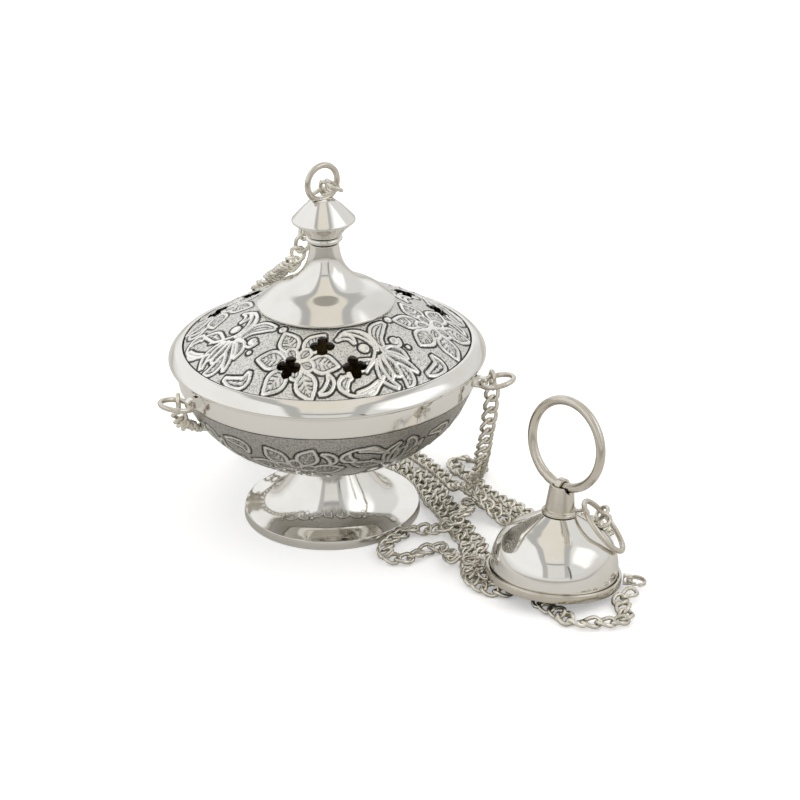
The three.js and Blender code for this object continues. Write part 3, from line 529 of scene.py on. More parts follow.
silver = polished_silver("polished silver", BURNER)
foot_flank = [(30, 3.85), (26, 4.9), (22.4, 7.3), (19, 11.2), (16, 15.6), (13.4, 20)]
foot_ends = [(FOOT_RIM_RADIUS, FOOT_RIM_HEIGHT), (FOOT_NECK_RADIUS, FOOT_HEIGHT)]
foot_outer = [(FOOT_RADIUS, 0), *smooth([foot_ends[0], *foot_flank, foot_ends[1]], 6)]
foot_profile = [
    *foot_outer,
    (BOLT_BORE, FOOT_HEIGHT),
    (BOLT_BORE, FOOT_HEIGHT - WALL),
    (FOOT_NECK_RADIUS - WALL, FOOT_HEIGHT - WALL),
    *lining(foot_outer),
    (FOOT_RADIUS - WALL, 0),
]
put("spun_foot", spun_mesh(eased(foot_profile, 0.5)), silver, "burner", "foot")


# The bowl is spun from the same sheet. Its band under the rim is plain and polished, and the
# belly below is pressed with flowers, leaves and scrolls, whose ground is stippled and darkened.
BOWL_BASE = FOOT_HEIGHT + SEAT_GAP
BOWL_RIM = BOWL_BASE + 42
BOWL_BAND = BOWL_RIM - 8.5
BOWL_RIM_RADIUS = 57.5
BOWL_BAND_RADIUS = 56.5
BOWL_BASE_RADIUS = 12
BELLY_SILVER = ((0.80, 0.79, 0.75), (0.54, 0.53, 0.50), (0.05, 0.046, 0.042))
BELLY_SCALE = 0.93
BELLY_UNDERSIDE = 22
PRESSED_GROUND = 0.36
PRESSED_LEAF = 0.62
PRESSED_TOP = 0.9
PRESSED_DEPTH = 0.5
PRESSED_CREASE = 88
OUTLINE_WIDTH = 0.36
SLIT_WIDTH = 0.42

# The ornament is drawn flat, as on the lid seen from above, and repeats every quarter turn.
# A leaf is its pairs of ribs, and its centre line with half its width at each point.
FLOWER = (-9.6, -39.6)
FLOWER_DISC = 1.3
PETAL_ANGLES = (50, 108, 162, 217, 290, 351)
PETAL_WIDTHS = [(4.4, 0.7), (7.4, 3.1), (10.4, 3.5), (13.2, 1.8), (15.2, 0.1)]
LOBE_ANGLES = (45, 117, 189, 261, 333)
LOBE_WIDTHS = [(1.2, 0.5), (3.2, 1.9), (5.1, 2.0), (6.3, 1.1), (6.7, 0.2)]
LEAVES = [
    (0, (-1.2, -51.8, 0.4), (1.4, -50.4, 1.3), (2.6, -47.8, 1.3), (1.6, -45.2, 0.3)),
    (0, (4.6, -30.6, 0.3), (6.8, -28.8, 1.0), (9.4, -29, 1.0), (11, -31.4, 0.3)),
    (0, (21.5, -31.4, 0.6), (18.9, -27.1, 1.9), (19, -22.4, 2.4), (21.3, -18, 0.9)),
    (
        0, (19.1, -33.1, 0.4), (18, -30.4, 0.9), (15.4, -27.6, 1.4), (11.9, -26.3, 1.4),
        (7.1, -26.4, 0.4),
    ),
    (0, (20.8, -32.4, 0.5), (24, -30.9, 1.4), (27.4, -31.1, 1.4), (30.1, -33.1, 0.4)),
    (0, (21.5, -33.6, 0.4), (25.4, -34.9, 1.4), (29.7, -35.6, 1.4), (33.7, -36.9, 0.4)),
    (0, (21.1, -34.4, 0.4), (23.9, -37.1, 1.4), (26, -39.7, 1.9), (26.7, -41.6, 0.7)),
    (0, (20.1, -35.4, 0.4), (21.7, -38.7, 1.3), (23.4, -41.9, 1.7), (24.1, -43.9, 0.6)),
    (3, (26.1, -36.7, 0.6), (29, -38.6, 1.9), (30.7, -41.3, 1.9), (30.6, -44.3, 0.6)),
    (0, (19.4, -36.9, 0.4), (20.1, -40.6, 1.1), (22.3, -43.9, 1.4), (26.9, -45.6, 0.6)),
    (3, (18, -37.6, 0.4), (15.4, -39.6, 1.7), (12.2, -41.4, 2), (9.1, -44.7, 0.5)),
    (0, (19.9, -45.4, 0.4), (17, -49.4, 1.3), (12.3, -51, 0.4)),
    (3, (37.4, -36.1, 0.6), (40.3, -33.1, 1.7), (42, -29.2, 1.9), (39, -26.9, 0.5)),
    (2, (8.6, -50.7, 0.4), (7.1, -49.1, 1.6), (8, -46.7, 1.3), (10.1, -45.7, 0.4)),
]
SCROLLS = [
    [
        (5.4, -29.2), (6.3, -27.1), (9.6, -25.3), (13.6, -26), (17, -29),
        (18.3, -33.1), (17.9, -36.7), (16.9, -39.7), (15.4, -42.8),
    ],
    [
        (21.6, -43), (19.9, -46.7), (16, -50.1), (11.7, -51.9),
        (7.7, -51.1), (5.3, -48.4), (6.4, -45.7),
    ],
    [(21.6, -32), (24.1, -29.4), (26.3, -29), (27.7, -27.1), (26.9, -24.7)],
]
DISCS = [(25.4, -26.3, 1.9), (14.4, -33.1, 2.1), (23.1, -15.1, 1.6), (30.4, -27.4, 1)]


def away_from(places, line):
    """How far each place is from a line of points."""
    nearest = np.full(len(places), np.inf)
    for a, b in zip(line, line[1:]):
        run = b - a
        share = ((places - a) @ run / max(run @ run, 1e-9)).clip(0, 1)
        nearest = np.minimum(nearest, np.linalg.norm(places - a - share[:, None] * run, axis=1))
    return nearest


class Pressing:
    """How high a pressed pattern stands at places on the sheet, from 0 to 1."""

    def __init__(self, places):
        self.places = places
        self.level = np.full(len(places), PRESSED_GROUND)
        self.raised = np.zeros(len(places))
        self.sunk = np.zeros(len(places))

    def near(self, line, reach):
        """The places near a line in each of its four quarter turns, and how far they are."""
        for turn in range(4):
            quarter = np.linalg.matrix_power(np.array([[0.0, 1.0], [-1.0, 0.0]]), turn)
            turned = np.asarray(line, float) @ quarter
            low, high = turned.min(0) - reach, turned.max(0) + reach
            close = np.flatnonzero(((self.places > low) & (self.places < high)).all(1))
            yield turned, close, away_from(self.places[close], turned)

    def stand(self, line, half, past, soft, fall, gap):
        """A rounded form on both sides of a line, with an outline sunk a gap outside it."""
        for _, close, away in self.near(line, half + 1.4):
            top = ((half + past - away) / soft).clip(0, 1) * (1 - fall * away / half)
            self.raised[close] = np.maximum(self.raised[close], top)
            edge = np.exp(-(((away - half - gap) / OUTLINE_WIDTH) ** 2))
            self.sunk[close] = np.maximum(self.sunk[close], edge)

    def ridge(self, line, half):
        self.stand(line, half, past=0.22, soft=0.44, fall=0.22, gap=0.42)

    def disc(self, centre, radius):
        self.stand([centre, centre], radius, past=0.0, soft=0.5, fall=0.25, gap=0.25)

    def slit(self, line):
        for _, close, away in self.near(line, 1):
            edge = np.exp(-((away / SLIT_WIDTH) ** 2))
            self.sunk[close] = np.maximum(self.sunk[close], edge)

    def leaf(self, points, ribs, edge):
        """A leaf over what is there, with a raised edge, and two rows of slits or one long one."""
        spine = np.array(smooth(points, 5))
        along = directions(spine[:, :2])
        side = np.stack([-along[:, 1], along[:, 0]], 1)
        middle, half = spine[:, :2], spine[:, 2:].clip(0.05)
        outline = np.vstack([middle + side * half, (middle - side * half)[::-1]])
        outline = np.vstack([outline, outline[:1]])
        for turned, close, away in self.near(outline, 0):
            x, y = self.places[close].T
            inside = np.zeros(len(close), bool)
            for (ax, ay), (bx, by) in zip(turned, turned[1:]):
                if ay != by:
                    inside ^= ((ay > y) != (by > y)) & (x < ax + (y - ay) / (by - ay) * (bx - ax))
            self.level[close[inside]] = PRESSED_LEAF
            self.raised[close[inside]] = 0
            self.sunk[close[inside]] = 0
        self.ridge(outline, edge)
        last = len(middle) - 1
        start, end = round(last * 0.24), round(last * 0.8)
        if not ribs:
            self.slit(middle[start : end + 1])
        for k in range(ribs):
            at = start + round((end - start) * (k + 0.3) / ribs)
            ahead = min(at + 2, last)
            for way in (-1, 1):
                root = middle[at] + side[at] * way * 0.5
                tip = middle[ahead] + side[ahead] * way * (half[ahead] - 0.95).clip(0.6)
                self.slit([root, tip])

    def heights(self):
        low = (self.level - self.sunk * 0.5).clip(0, 1)
        return np.maximum(low, low + (PRESSED_TOP - low) * self.raised)


def pressed_heights(places):
    """The whole ornament at places in millimetres from the axis."""
    pattern = Pressing(places)
    centre = np.array(FLOWER)
    for angles, widths, ribs, edge in (
        (PETAL_ANGLES, PETAL_WIDTHS, 4, 0.5),
        (LOBE_ANGLES, LOBE_WIDTHS, 0, 0.42),
    ):
        for angle in np.radians(angles):
            out = np.array([math.cos(angle), math.sin(angle)])
            pattern.leaf([(*(centre + out * far), half) for far, half in widths], ribs, edge)
    pattern.disc(centre, FLOWER_DISC)
    for ribs, *points in LEAVES:
        pattern.leaf(points, ribs, 0.45)
    for points in SCROLLS:
        pattern.ridge(smooth(points, 5), 0.5)
    for x, y, radius in DISCS:
        pattern.disc(np.array([x, y]), radius)
    return pattern.heights()


def circle(count):
    """Directions evenly round the axis."""
    turn = np.linspace(0, math.tau, count, endpoint=False)
    return np.stack([np.cos(turn), np.sin(turn)], 1)


def pressed_mesh(pressed, plan, before, after, inner, steps=640, coarse=80):
    """A spun sheet whose outer face carries the ornament on a fine grid of rows. The plain
    rows before and after the pressed ones share the grid, and the inner face is a coarse one."""
    relief = pressed_heights((plan[:, None, None] * circle(steps)).reshape(-1, 2))
    relief = relief.reshape(len(plan), steps)
    relief[[0, -1]] = 0
    rows = np.vstack([before, pressed, after])
    carved = slice(len(before), len(before) + len(plan))
    whole = np.ones((len(rows), steps))
    whole[carved] = relief
    rise = np.zeros_like(whole)
    rise[carved] = (relief - PRESSED_GROUND) * PRESSED_DEPTH
    along = directions(rows)
    radius = rows[:, :1] + along[:, 1:] * rise
    height = rows[:, 1:] - along[:, :1] * rise
    outer = np.concatenate([radius[..., None] * circle(steps), height[..., None]], 2)
    plain = [np.hstack([r * circle(coarse), np.full((coarse, 1), float(z))]) for r, z in inner]
    first = len(rows) * steps
    faces = []
    for start, count, last in ((0, steps, len(rows) - 1), (first, coarse, len(inner) - 1)):
        for low in range(start, start + last * count, count):
            for i in range(count):
                j = (i + 1) % count
                faces.append((low + i, low + j, low + count + j, low + count + i))
    share = steps // coarse
    for fine_row, coarse_row in ((len(rows) - 1, 0), (0, len(inner) - 1)):
        for j in range(coarse):
            edge = [fine_row * steps + (j * share + k) % steps for k in range(share + 1)]
            start = first + coarse_row * coarse
            faces.append((*edge, start + (j + 1) % coarse, start + j))
    mesh = bpy.data.meshes.new("pressed")
    mesh.from_pydata((np.vstack([outer.reshape(-1, 3), *plain]) * MM).tolist(), [], faces)
    made = bmesh.new()
    made.from_mesh(mesh)
    settled(made, mesh)
    attribute = mesh.attributes.new("relief", "FLOAT", "POINT")
    values = np.concatenate([whole.ravel(), np.full(len(inner) * coarse, PRESSED_TOP)])
    attribute.data.foreach_set("value", values.astype(np.float32))
    mesh.transform(on_burner)
    return mesh


def embossed_silver(name, bright, ground, dark):
    """Pressed silver: dark in the outlines, stippled on the ground, bright on what stands up."""
    finish = Finish(name)
    height = finish.node("Attribute", output=2, attribute_name="relief")
    smudge = finish.noise(260.0, 4.0, 0.6)
    speck = finish.noise(1500.0, 2.0, 0.6)
    stipple = finish.node("TexVoronoi", {"Vector": finish.place, "Scale": 1700.0})
    polish = ((height - 0.93) * 20.0).clamp()
    proud = ((height - 0.42) * 5.5).clamp()
    deep = ((0.31 - height) * 6.0).clamp()
    flat = (1.0 - proud) * (1.0 - deep)
    spots = ((speck - 0.47) * 7.0).clamp() * (flat * 0.86 + 0.14) * (1.0 - polish) * 0.45
    shade = finish.blend(proud, ground, bright)
    shade = finish.blend(((deep + spots).clamp() * (smudge + 0.5)).clamp(), shade, dark)
    shade = finish.blend(polish, shade, SILVER)
    rough = (flat * 0.26 + deep * 0.3 + smudge * 0.05 + 0.06).clamp(0.05, 0.7)
    grain = (stipple + speck) * (flat * 0.9 + (1.0 - polish) * 0.08)
    return finish.metal(shade, rough, grain, strength=0.6, depth=0.25 * MM)


belly = flank(
    (BOWL_BASE_RADIUS, BOWL_BASE),
    (BOWL_BAND_RADIUS, BOWL_BAND),
    [(0, 0), (0.36, 0.137), (0.629, 0.328), (0.854, 0.627), (1, 1)],
    14,
)
belly_rows, _ = evenly(belly, 0.5)
# The flat ornament is drawn in towards the bowl's foot, so that its shapes keep their form
run = np.linalg.norm(np.diff(belly_rows, axis=0), axis=1)
spread = np.cumsum(run / (belly_rows[1:, 0] + belly_rows[:-1, 0]) * 2)
belly_plan = BOWL_BAND_RADIUS * np.exp(np.concatenate([[0], spread]) - spread[-1]) / BELLY_SCALE
underside = belly_rows[:, 0] < BELLY_UNDERSIDE
bowl_mesh = pressed_mesh(
    belly_rows[~underside],
    belly_plan[~underside],
    [(BOLT_BORE, BOWL_BASE), *belly_rows[underside]],
    [
        (BOWL_BAND_RADIUS + 0.12, BOWL_BAND + 0.25),
        (BOWL_BAND_RADIUS + 0.2, BOWL_BAND + 0.8),
        (BOWL_BAND_RADIUS + 0.6, BOWL_BAND + 4.5),
        (BOWL_RIM_RADIUS - 0.04, BOWL_RIM - 0.6),
        (BOWL_RIM_RADIUS - 0.1, BOWL_RIM - 0.15),
        (BOWL_RIM_RADIUS - 0.3, BOWL_RIM),
    ],
    [
        (BOWL_RIM_RADIUS - WALL + 0.3, BOWL_RIM),
        (BOWL_RIM_RADIUS - WALL, BOWL_RIM - 0.3),
        *lining([*belly, (BOWL_RIM_RADIUS, BOWL_RIM)]),
        (BOWL_BASE_RADIUS - WALL, BOWL_BASE + WALL),
        (BOLT_BORE, BOWL_BASE + WALL),
    ],
)
bowl_silver = embossed_silver("embossed bowl silver", *BELLY_SILVER)
put("pressed_bowl", bowl_mesh, bowl_silver, "burner", "bowl", PRESSED_CREASE)


# The coal cup is a loose cup of plain brass, dulled by heat, with a beaded edge.
CUP_SEAT_RADIUS = 31
CUP_RIM_RADIUS = 38
CUP_HEIGHT = 24
CUP_BEAD = 1.1
CUP_FLOOR = 32.0


def heated_brass(name):
    """Plain brass that charcoal has browned, with ash-grey patches."""
    finish = Finish(name)
    bloom = finish.noise(70.0, 5.0, 0.6)
    grain = finish.noise(700.0, 3.0, 0.5)
    burnt = ((bloom - 0.42) * 2.6).clamp()
    colour = finish.blend(burnt, (0.62, 0.44, 0.20), (0.20, 0.13, 0.08))
    rough = (burnt * 0.3 + grain * 0.1 + 0.25).clamp(0.1, 0.8)
    return finish.metal(colour, rough, grain, strength=0.25, depth=0.1 * MM)


bead = [
    (CUP_RIM_RADIUS + math.cos(t) * CUP_BEAD, CUP_HEIGHT + math.sin(t) * CUP_BEAD)
    for t in ((k / 8 - 0.25) * math.pi for k in range(9))
]
cup_profile = [
    (0, 0),
    (CUP_SEAT_RADIUS, 0),
    (CUP_RIM_RADIUS, CUP_HEIGHT - CUP_BEAD),
    *bead,
    (CUP_RIM_RADIUS - WALL, CUP_HEIGHT),
    (CUP_SEAT_RADIUS - WALL, WALL),
    (0, WALL),
]
cup_mesh = spun_mesh(eased(raised(CUP_FLOOR, cup_profile), 0.4), steps=96)
cup_brass = heated_brass("heated brass")
put("brass_coal_cup", cup_mesh, cup_brass, "coal_cup", "coal_cup")


# The lid's rim is a polished ring with a stepped lip. Its spigot drops inside the bowl's mouth.
LID_SEAT = BOWL_RIM + SEAT_GAP
LID_RIM_RADIUS = 60
LID_BAND_TOP = LID_SEAT + 5.7
SPIGOT_RADIUS = BOWL_RIM_RADIUS - WALL - 0.9
SPIGOT_INNER = SPIGOT_RADIUS - 0.9
SPIGOT_DEPTH = 3.6
rim_profile = [
    (SPIGOT_INNER, LID_SEAT - SPIGOT_DEPTH),
    (SPIGOT_RADIUS, LID_SEAT - SPIGOT_DEPTH),
    (SPIGOT_RADIUS, LID_SEAT),
    (LID_RIM_RADIUS - 0.5, LID_SEAT),
    *shares(
        (LID_RIM_RADIUS, LID_SEAT),
        (SPIGOT_INNER, LID_BAND_TOP),
        [(0, 0.09), (0, 0.25), (0.16, 0.49), (0.46, 0.81), (0.84, 1), (1, 1)],
    ),
]
put("polished_lid_rim", spun_mesh(eased(rim_profile, 0.7)), silver, "lid", "lid_rim")


# The lid's dome is pressed like the bowl and brighter, and pierced with nine quatrefoils for
# the smoke: one near the crown and a pair further out, three times round.
LID_SILVER = ((1.0, 0.99, 0.96), (0.88, 0.87, 0.835), (0.07, 0.065, 0.057))
LID_TOP = LID_BAND_TOP + 15
LID_CROWN = LID_TOP + 4
CROWN_RADIUS = 11
SKIRT_RADIUS = 25.9
ROD_BORE = 1.82
VENT_LOBE_RADIUS = 1.9
VENT_LOBE_OFFSET = 2.55
VENT_INNER_CIRCLE = 33.4
VENT_OUTER_CIRCLE = 43
VENT_SPREAD = 16
VENT_AZIMUTH = -91
PUNCH_TOP = LID_TOP + 9
dome_edge = SPIGOT_INNER - SEAT_GAP
dome_foot = LID_BAND_TOP - 3
dome_curve = smooth(
    [
        *shares(
            (dome_edge, LID_BAND_TOP - 0.4),
            (SKIRT_RADIUS - WALL, LID_TOP),
            [(0, 0), (0.447, 0.56), (1, 1)],
        ),
        (CROWN_RADIUS, LID_CROWN),
    ],
    16,
)
dome_rows, _ = evenly(dome_curve[:33], 0.34)


def cut(mesh, tool):
    """The mesh with the tool's shape cut out of it."""
    pair = [add_object("cut", m) for m in (mesh, tool)]
    saw = pair[0].modifiers.new("cut", "BOOLEAN")
    saw.operation = "DIFFERENCE"
    saw.solver = "EXACT"
    saw.object = pair[1]
    made = evaluated(pair[0])
    for part in pair:
        bpy.data.objects.remove(part)
    return made


def vent_punches():
    """The punches that pierce the dome, each a quatrefoil prism."""
    meet = (VENT_LOBE_OFFSET + math.sqrt(2 * VENT_LOBE_RADIUS**2 - VENT_LOBE_OFFSET**2)) / 2
    half = math.atan2(meet, meet - VENT_LOBE_OFFSET)
    outline = []
    for turn in (lobe * math.pi / 2 for lobe in range(4)):
        for angle in (turn - half + 2 * half * k / 12 for k in range(13)):
            x = math.cos(turn) * VENT_LOBE_OFFSET + math.cos(angle) * VENT_LOBE_RADIUS
            y = math.sin(turn) * VENT_LOBE_OFFSET + math.sin(angle) * VENT_LOBE_RADIUS
            outline.append((x, y))
    outer_vents = [(side * VENT_SPREAD, VENT_OUTER_CIRCLE) for side in (-1, 1)]
    made = bmesh.new()
    for third in range(3):
        for beside, reach in [(0, VENT_INNER_CIRCLE), *outer_vents]:
            azimuth = math.radians(VENT_AZIMUTH + third * 120 + beside)
            turned = on_burner @ Matrix.Rotation(azimuth, 4, "Z")
            ends = [
                [made.verts.new(turned @ (Vector((reach + x, y, z)) * MM)) for x, y in outline]
                for z in (LID_SEAT, PUNCH_TOP)
            ]
            for end in ends:
                made.faces.new(end)
            skin(made, ends, closed=False)
    bmesh.ops.remove_doubles(made, verts=made.verts, dist=1e-7)
    return settled(made)


dome_mesh = pressed_mesh(
    dome_rows,
    dome_rows[:, 0],
    [(dome_edge, dome_foot)],
    [(18, LID_TOP + 2.2), (CROWN_RADIUS, LID_CROWN), (ROD_BORE, LID_CROWN)],
    [
        (ROD_BORE, LID_CROWN - WALL),
        (CROWN_RADIUS, LID_CROWN - WALL),
        *lining([(dome_edge, dome_foot), *dome_curve]),
        (dome_edge - WALL, dome_foot),
    ],
    steps=720,
    coarse=90,
)
pierced = cut(dome_mesh, vent_punches())
lid_silver = embossed_silver("embossed lid silver", *LID_SILVER)
put("pressed_lid_dome", pierced, lid_silver, "lid", "lid_shell", PRESSED_CREASE)


# The spire is a hollow polished trumpet that stands on the dome's crown. A bead and a double
# cone with a turned edge close it, all on one threaded rod.
SKIRT_SEAT = LID_TOP + SEAT_GAP
SPIRE_TOP = SKIRT_SEAT + 23.6
SPIRE_TOP_RADIUS = 5.4
BEAD_BASE = SPIRE_TOP + SEAT_GAP
BEAD_HEIGHT = 2.6
BEAD_RADIUS = 6.9
FINIAL_BASE = BEAD_BASE + BEAD_HEIGHT + SEAT_GAP
FINIAL_HEIGHT = 13.9
FINIAL_RADIUS = 11.85
FINIAL_BORE_DEPTH = 5.5
TOP_RING_RADIUS = 6.6
TOP_RING_GROOVE = 1.42
spire_outer = flank(
    (SKIRT_RADIUS, SKIRT_SEAT + 0.8),
    (SPIRE_TOP_RADIUS, SPIRE_TOP),
    [(0, 0), (0.283, 0.184), (0.605, 0.333), (0.834, 0.526), (0.951, 0.737), (1, 1)],
    12,
)
spire_profile = [
    (SKIRT_RADIUS, SKIRT_SEAT),
    *spire_outer,
    (SPIRE_TOP_RADIUS - WALL, SPIRE_TOP),
    *lining(spire_outer),
    (SKIRT_RADIUS - WALL, SKIRT_SEAT),
]
put("spun_spire", spun_mesh(eased(spire_profile, 0.3)), silver, "lid", "spire")
bead_profile = [
    (ROD_BORE, 0),
    (SPIRE_TOP_RADIUS, 0),
    (BEAD_RADIUS, 1.17),
    (BEAD_RADIUS, 1.95),
    (BEAD_RADIUS - 0.8, BEAD_HEIGHT),
    (ROD_BORE, BEAD_HEIGHT),
]
bead_mesh = spun_mesh(eased(raised(BEAD_BASE, bead_profile), 0.7), steps=96)
put("turned_bead", bead_mesh, silver, "lid", "spire_bead")
finial_profile = [
    (0, FINIAL_BORE_DEPTH),
    (ROD_BORE, FINIAL_BORE_DEPTH),
    (ROD_BORE, 0),
    (6.6, 0),
    (8.3, 2.5),
    (FINIAL_RADIUS, 5.5),
    (FINIAL_RADIUS, 6.2),
    (7.4, FINIAL_HEIGHT - 3),
    (3.8, FINIAL_HEIGHT),
    (0, FINIAL_HEIGHT),
]


def wire_mesh(line, radius, closed=True, sides=12):
    """Round wire along a line of points, its radius one number or one for each point."""
    line = np.array(line, float)
    count = len(line)
    radii = np.broadcast_to(radius, (count,))
    along = directions(line)
    if closed:
        along = directions(np.vstack([line[-1:], line, line[:1]]))[1:-1]
    side = np.cross(along[0], (0.31, 0.52, 0.79))
    frames = []
    for tangent in along:
        side = side - tangent * (side @ tangent)
        side /= np.linalg.norm(side)
        frames.append((side, np.cross(tangent, side)))
    slip = 0.0
    if closed:
        last = frames[-1][0] - along[0] * (frames[-1][0] @ along[0])
        slip = math.atan2(last @ frames[0][1], last @ frames[0][0])
    made = bmesh.new()
    rows = []
    for i, (point, (u, v)) in enumerate(zip(line, frames)):
        turns = [math.tau * k / sides - slip * i / count for k in range(sides)]
        outs = [u * math.cos(turn) + v * math.sin(turn) for turn in turns]
        rows.append([made.verts.new(point + out * radii[i]) for out in outs])
    skin(made, rows, closed)
    if not closed:
        made.faces.new(rows[0])
        made.faces.new(rows[-1])
    return settled(made)


def loop_frame(node):
    """Centre, and the long, short and through directions of a wire loop's CAD node."""
    corners = np.array([v.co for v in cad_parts[node].data.vertices], float)
    centre = corners.mean(0)
    _, axes = np.linalg.eigh(np.cov((corners - centre).T))
    return centre, axes[:, 2], axes[:, 1], axes[:, 0]


def oval(centre, long, short, angles, half_length, half_width):
    """Points of an oval about a centre, at some angles from its long direction."""
    return (
        centre
        + np.outer(np.cos(angles), long) * half_length * MM
        + np.outer(np.sin(angles), short) * half_width * MM
    )


def loop_line(node, half_length, half_width, count, start=None):
    """Points round a wire loop, from a given direction on."""
    centre, long, short, _ = loop_frame(node)
    turn = 0.0
    if start is not None:
        turn = math.atan2(np.dot(start, short), np.dot(start, long))
    angles = np.linspace(0, math.tau, count, endpoint=False) + turn
    return oval(centre, long, short, angles, half_length, half_width)


groove_line = loop_line("top_ring", TOP_RING_RADIUS, TOP_RING_RADIUS, 96)
grooved = cut(
    spun_mesh(eased(raised(FINIAL_BASE, finial_profile), 0.5), steps=128),
    wire_mesh(groove_line, TOP_RING_GROOVE * MM),
)
put("double_cone_finial", grooved, silver, "lid", "finial")


# The rings are bent from round wire with soldered joints: the upright ring on the finial, three
# side rings in lugs on the bowl, and the end links of the chains that hang in them.
RING_COLOUR = (0.74, 0.71, 0.64)
# Tarnish, which is also painted shade in the hollows of the ring wire
RING_TARNISH_AND_SHADE = (0.42, 0.34, 0.24)
LARGE_RING = 10
SOLDER_WIDTH = 0.035
JOINT_WIDTH = 0.006
END_LINK_HALVES = (3.45, 2.65)
END_LINK_WIRE = 0.75
SHARP_EDGE = 0.6
ring_finish = plated_wire("ring silver", RING_COLOUR, RING_TARNISH_AND_SHADE, 0.09, 0.35)


def weld(count, wire):
    """Wire radii round a ring with a filed solder joint where it starts and ends."""
    place = np.arange(count) / count
    near = np.minimum(place, 1 - place)
    swell = 0.07 * np.exp(-((near / SOLDER_WIDTH) ** 2))
    return wire * MM * (1 + swell - 0.10 * np.exp(-((near / JOINT_WIDTH) ** 2)))


# Each ring: its CAD node, radius, wire, body, and the direction in which its joint lies
RINGS = [
    ("top_ring", TOP_RING_RADIUS, 1.1, "lid", (-0.6, 0.4, -0.7)),
    ("side_ring_1", 6.1, 0.95, "burner", (0.4, -0.9, 0)),
    ("side_ring_2", 6.1, 0.95, "burner", (0.6, 0.8, 0)),
    ("side_ring_3", 6.1, 0.95, "burner", (-0.9, -0.4, 0)),
    ("lift_ring", 10.998, 1.0, "lift_ring", (0.4, 0, -1)),
    ("finger_ring", 16.1, 1.7, "finger_ring", (-0.75, -0.2, -0.62)),
]
for node, radius, wire, body, start in RINGS:
    count, sides = (160, 20) if radius > LARGE_RING else (96, 14)
    line = loop_line(node, radius, radius, count, start)
    mesh = wire_mesh(line, weld(count, wire), sides=sides)
    put("bent_" + node, mesh, ring_finish, body, node)

END_LINKS = {
    "lid_chain_link": "lid",
    "side_chain_link_1": "burner",
    "side_chain_link_2": "burner",
    "side_chain_link_3": "burner",
    "lift_link": "lift_pull",
}
for node, body in END_LINKS.items():
    mesh = wire_mesh(loop_line(node, *END_LINK_HALVES, 48), END_LINK_WIRE * MM)
    put("bent_" + node, mesh, chain_finish, body, node)


def put_eased(node, size, material, body):
    """A CAD node's own shape as a piece, merged, with its edges rounded."""
    made = bmesh.new()
    made.from_mesh(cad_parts[node].data)
    bmesh.ops.remove_doubles(made, verts=made.verts, dist=TOUCHING)
    bmesh.ops.dissolve_limit(
        made, angle_limit=math.radians(1), verts=made.verts, edges=made.edges
    )
    sharp = [e for e in made.edges if e.is_manifold and e.calc_face_angle(0) > SHARP_EDGE]
    bmesh.ops.bevel(
        made, geom=sharp, offset=size * MM, segments=3, affect="EDGES", clamp_overlap=True
    )
    mesh = bpy.data.meshes.new(node)
    made.to_mesh(mesh)
    made.free()
    put("eased_" + node, mesh, material, body, node)


for i in (1, 2, 3):
    put_eased(f"bowl_lug_{i}", 0.3, silver, "burner")


# The bolt, rod, washers and nuts are plain brass, turned and cut, and hidden by the sheet.
def turned_brass(name):
    finish = Finish(name)
    tool = finish.noise(1800.0, 2.0, 0.5)
    age = finish.noise(120.0, 4.0, 0.6)
    tone = (age * 1.6 - 0.5).clamp()
    colour = finish.blend(tone, (0.74, 0.56, 0.30), (0.36, 0.25, 0.13))
    rough = (age * 0.2 + 0.15).clamp(0.1, 0.6)
    return finish.metal(colour, rough, tool, strength=0.15, depth=0.05 * MM)


brass = turned_brass("turned brass")
HARDWARE = {
    "burner": ("foot_bolt", "foot_washer", "foot_nut"),
    "lid": ("spire_rod", "spire_washer", "spire_nut"),
    "hand_cap": ("eye_washer", "eye_nut"),
}
for body, nodes in HARDWARE.items():
    for node in nodes:
        put_eased(node, 0.2, brass, body)


# The hand cap is a spun dome with a rolled rim. It lies with one side of the rim on the table,
# and a hole in its shoulder lets the lid's chain through to the lift ring.
CAP_RADIUS = 25
CAP_PLACE = (82, -61)
CAP_LEAN = math.radians(7.2)
CAP_LEAN_AZIMUTH = math.radians(50)
CAP_DOME_RADIUS = CAP_RADIUS - 1.6
CAP_DOME_HEIGHT = 24.6
CAP_FLANGE_RADIUS = 6.5
CAP_RIM_HEIGHT = 3.2
CAP_RIM_ROUND = 0.3
LIFT_AZIMUTH = math.radians(5)
LIFT_ELEVATION = math.radians(45.4537)
LIFT_SEAT_RADIUS = 15.608
LIFT_SEAT_HEIGHT = 18.902
LIFT_HOLE = 3.6
LIFT_HOLE_OFFSET = 3


def polar(azimuth, radius=1.0, height=0.0):
    """A place some way out from the axis and some way up it."""
    return Vector((radius * math.cos(azimuth), radius * math.sin(azimuth), height))


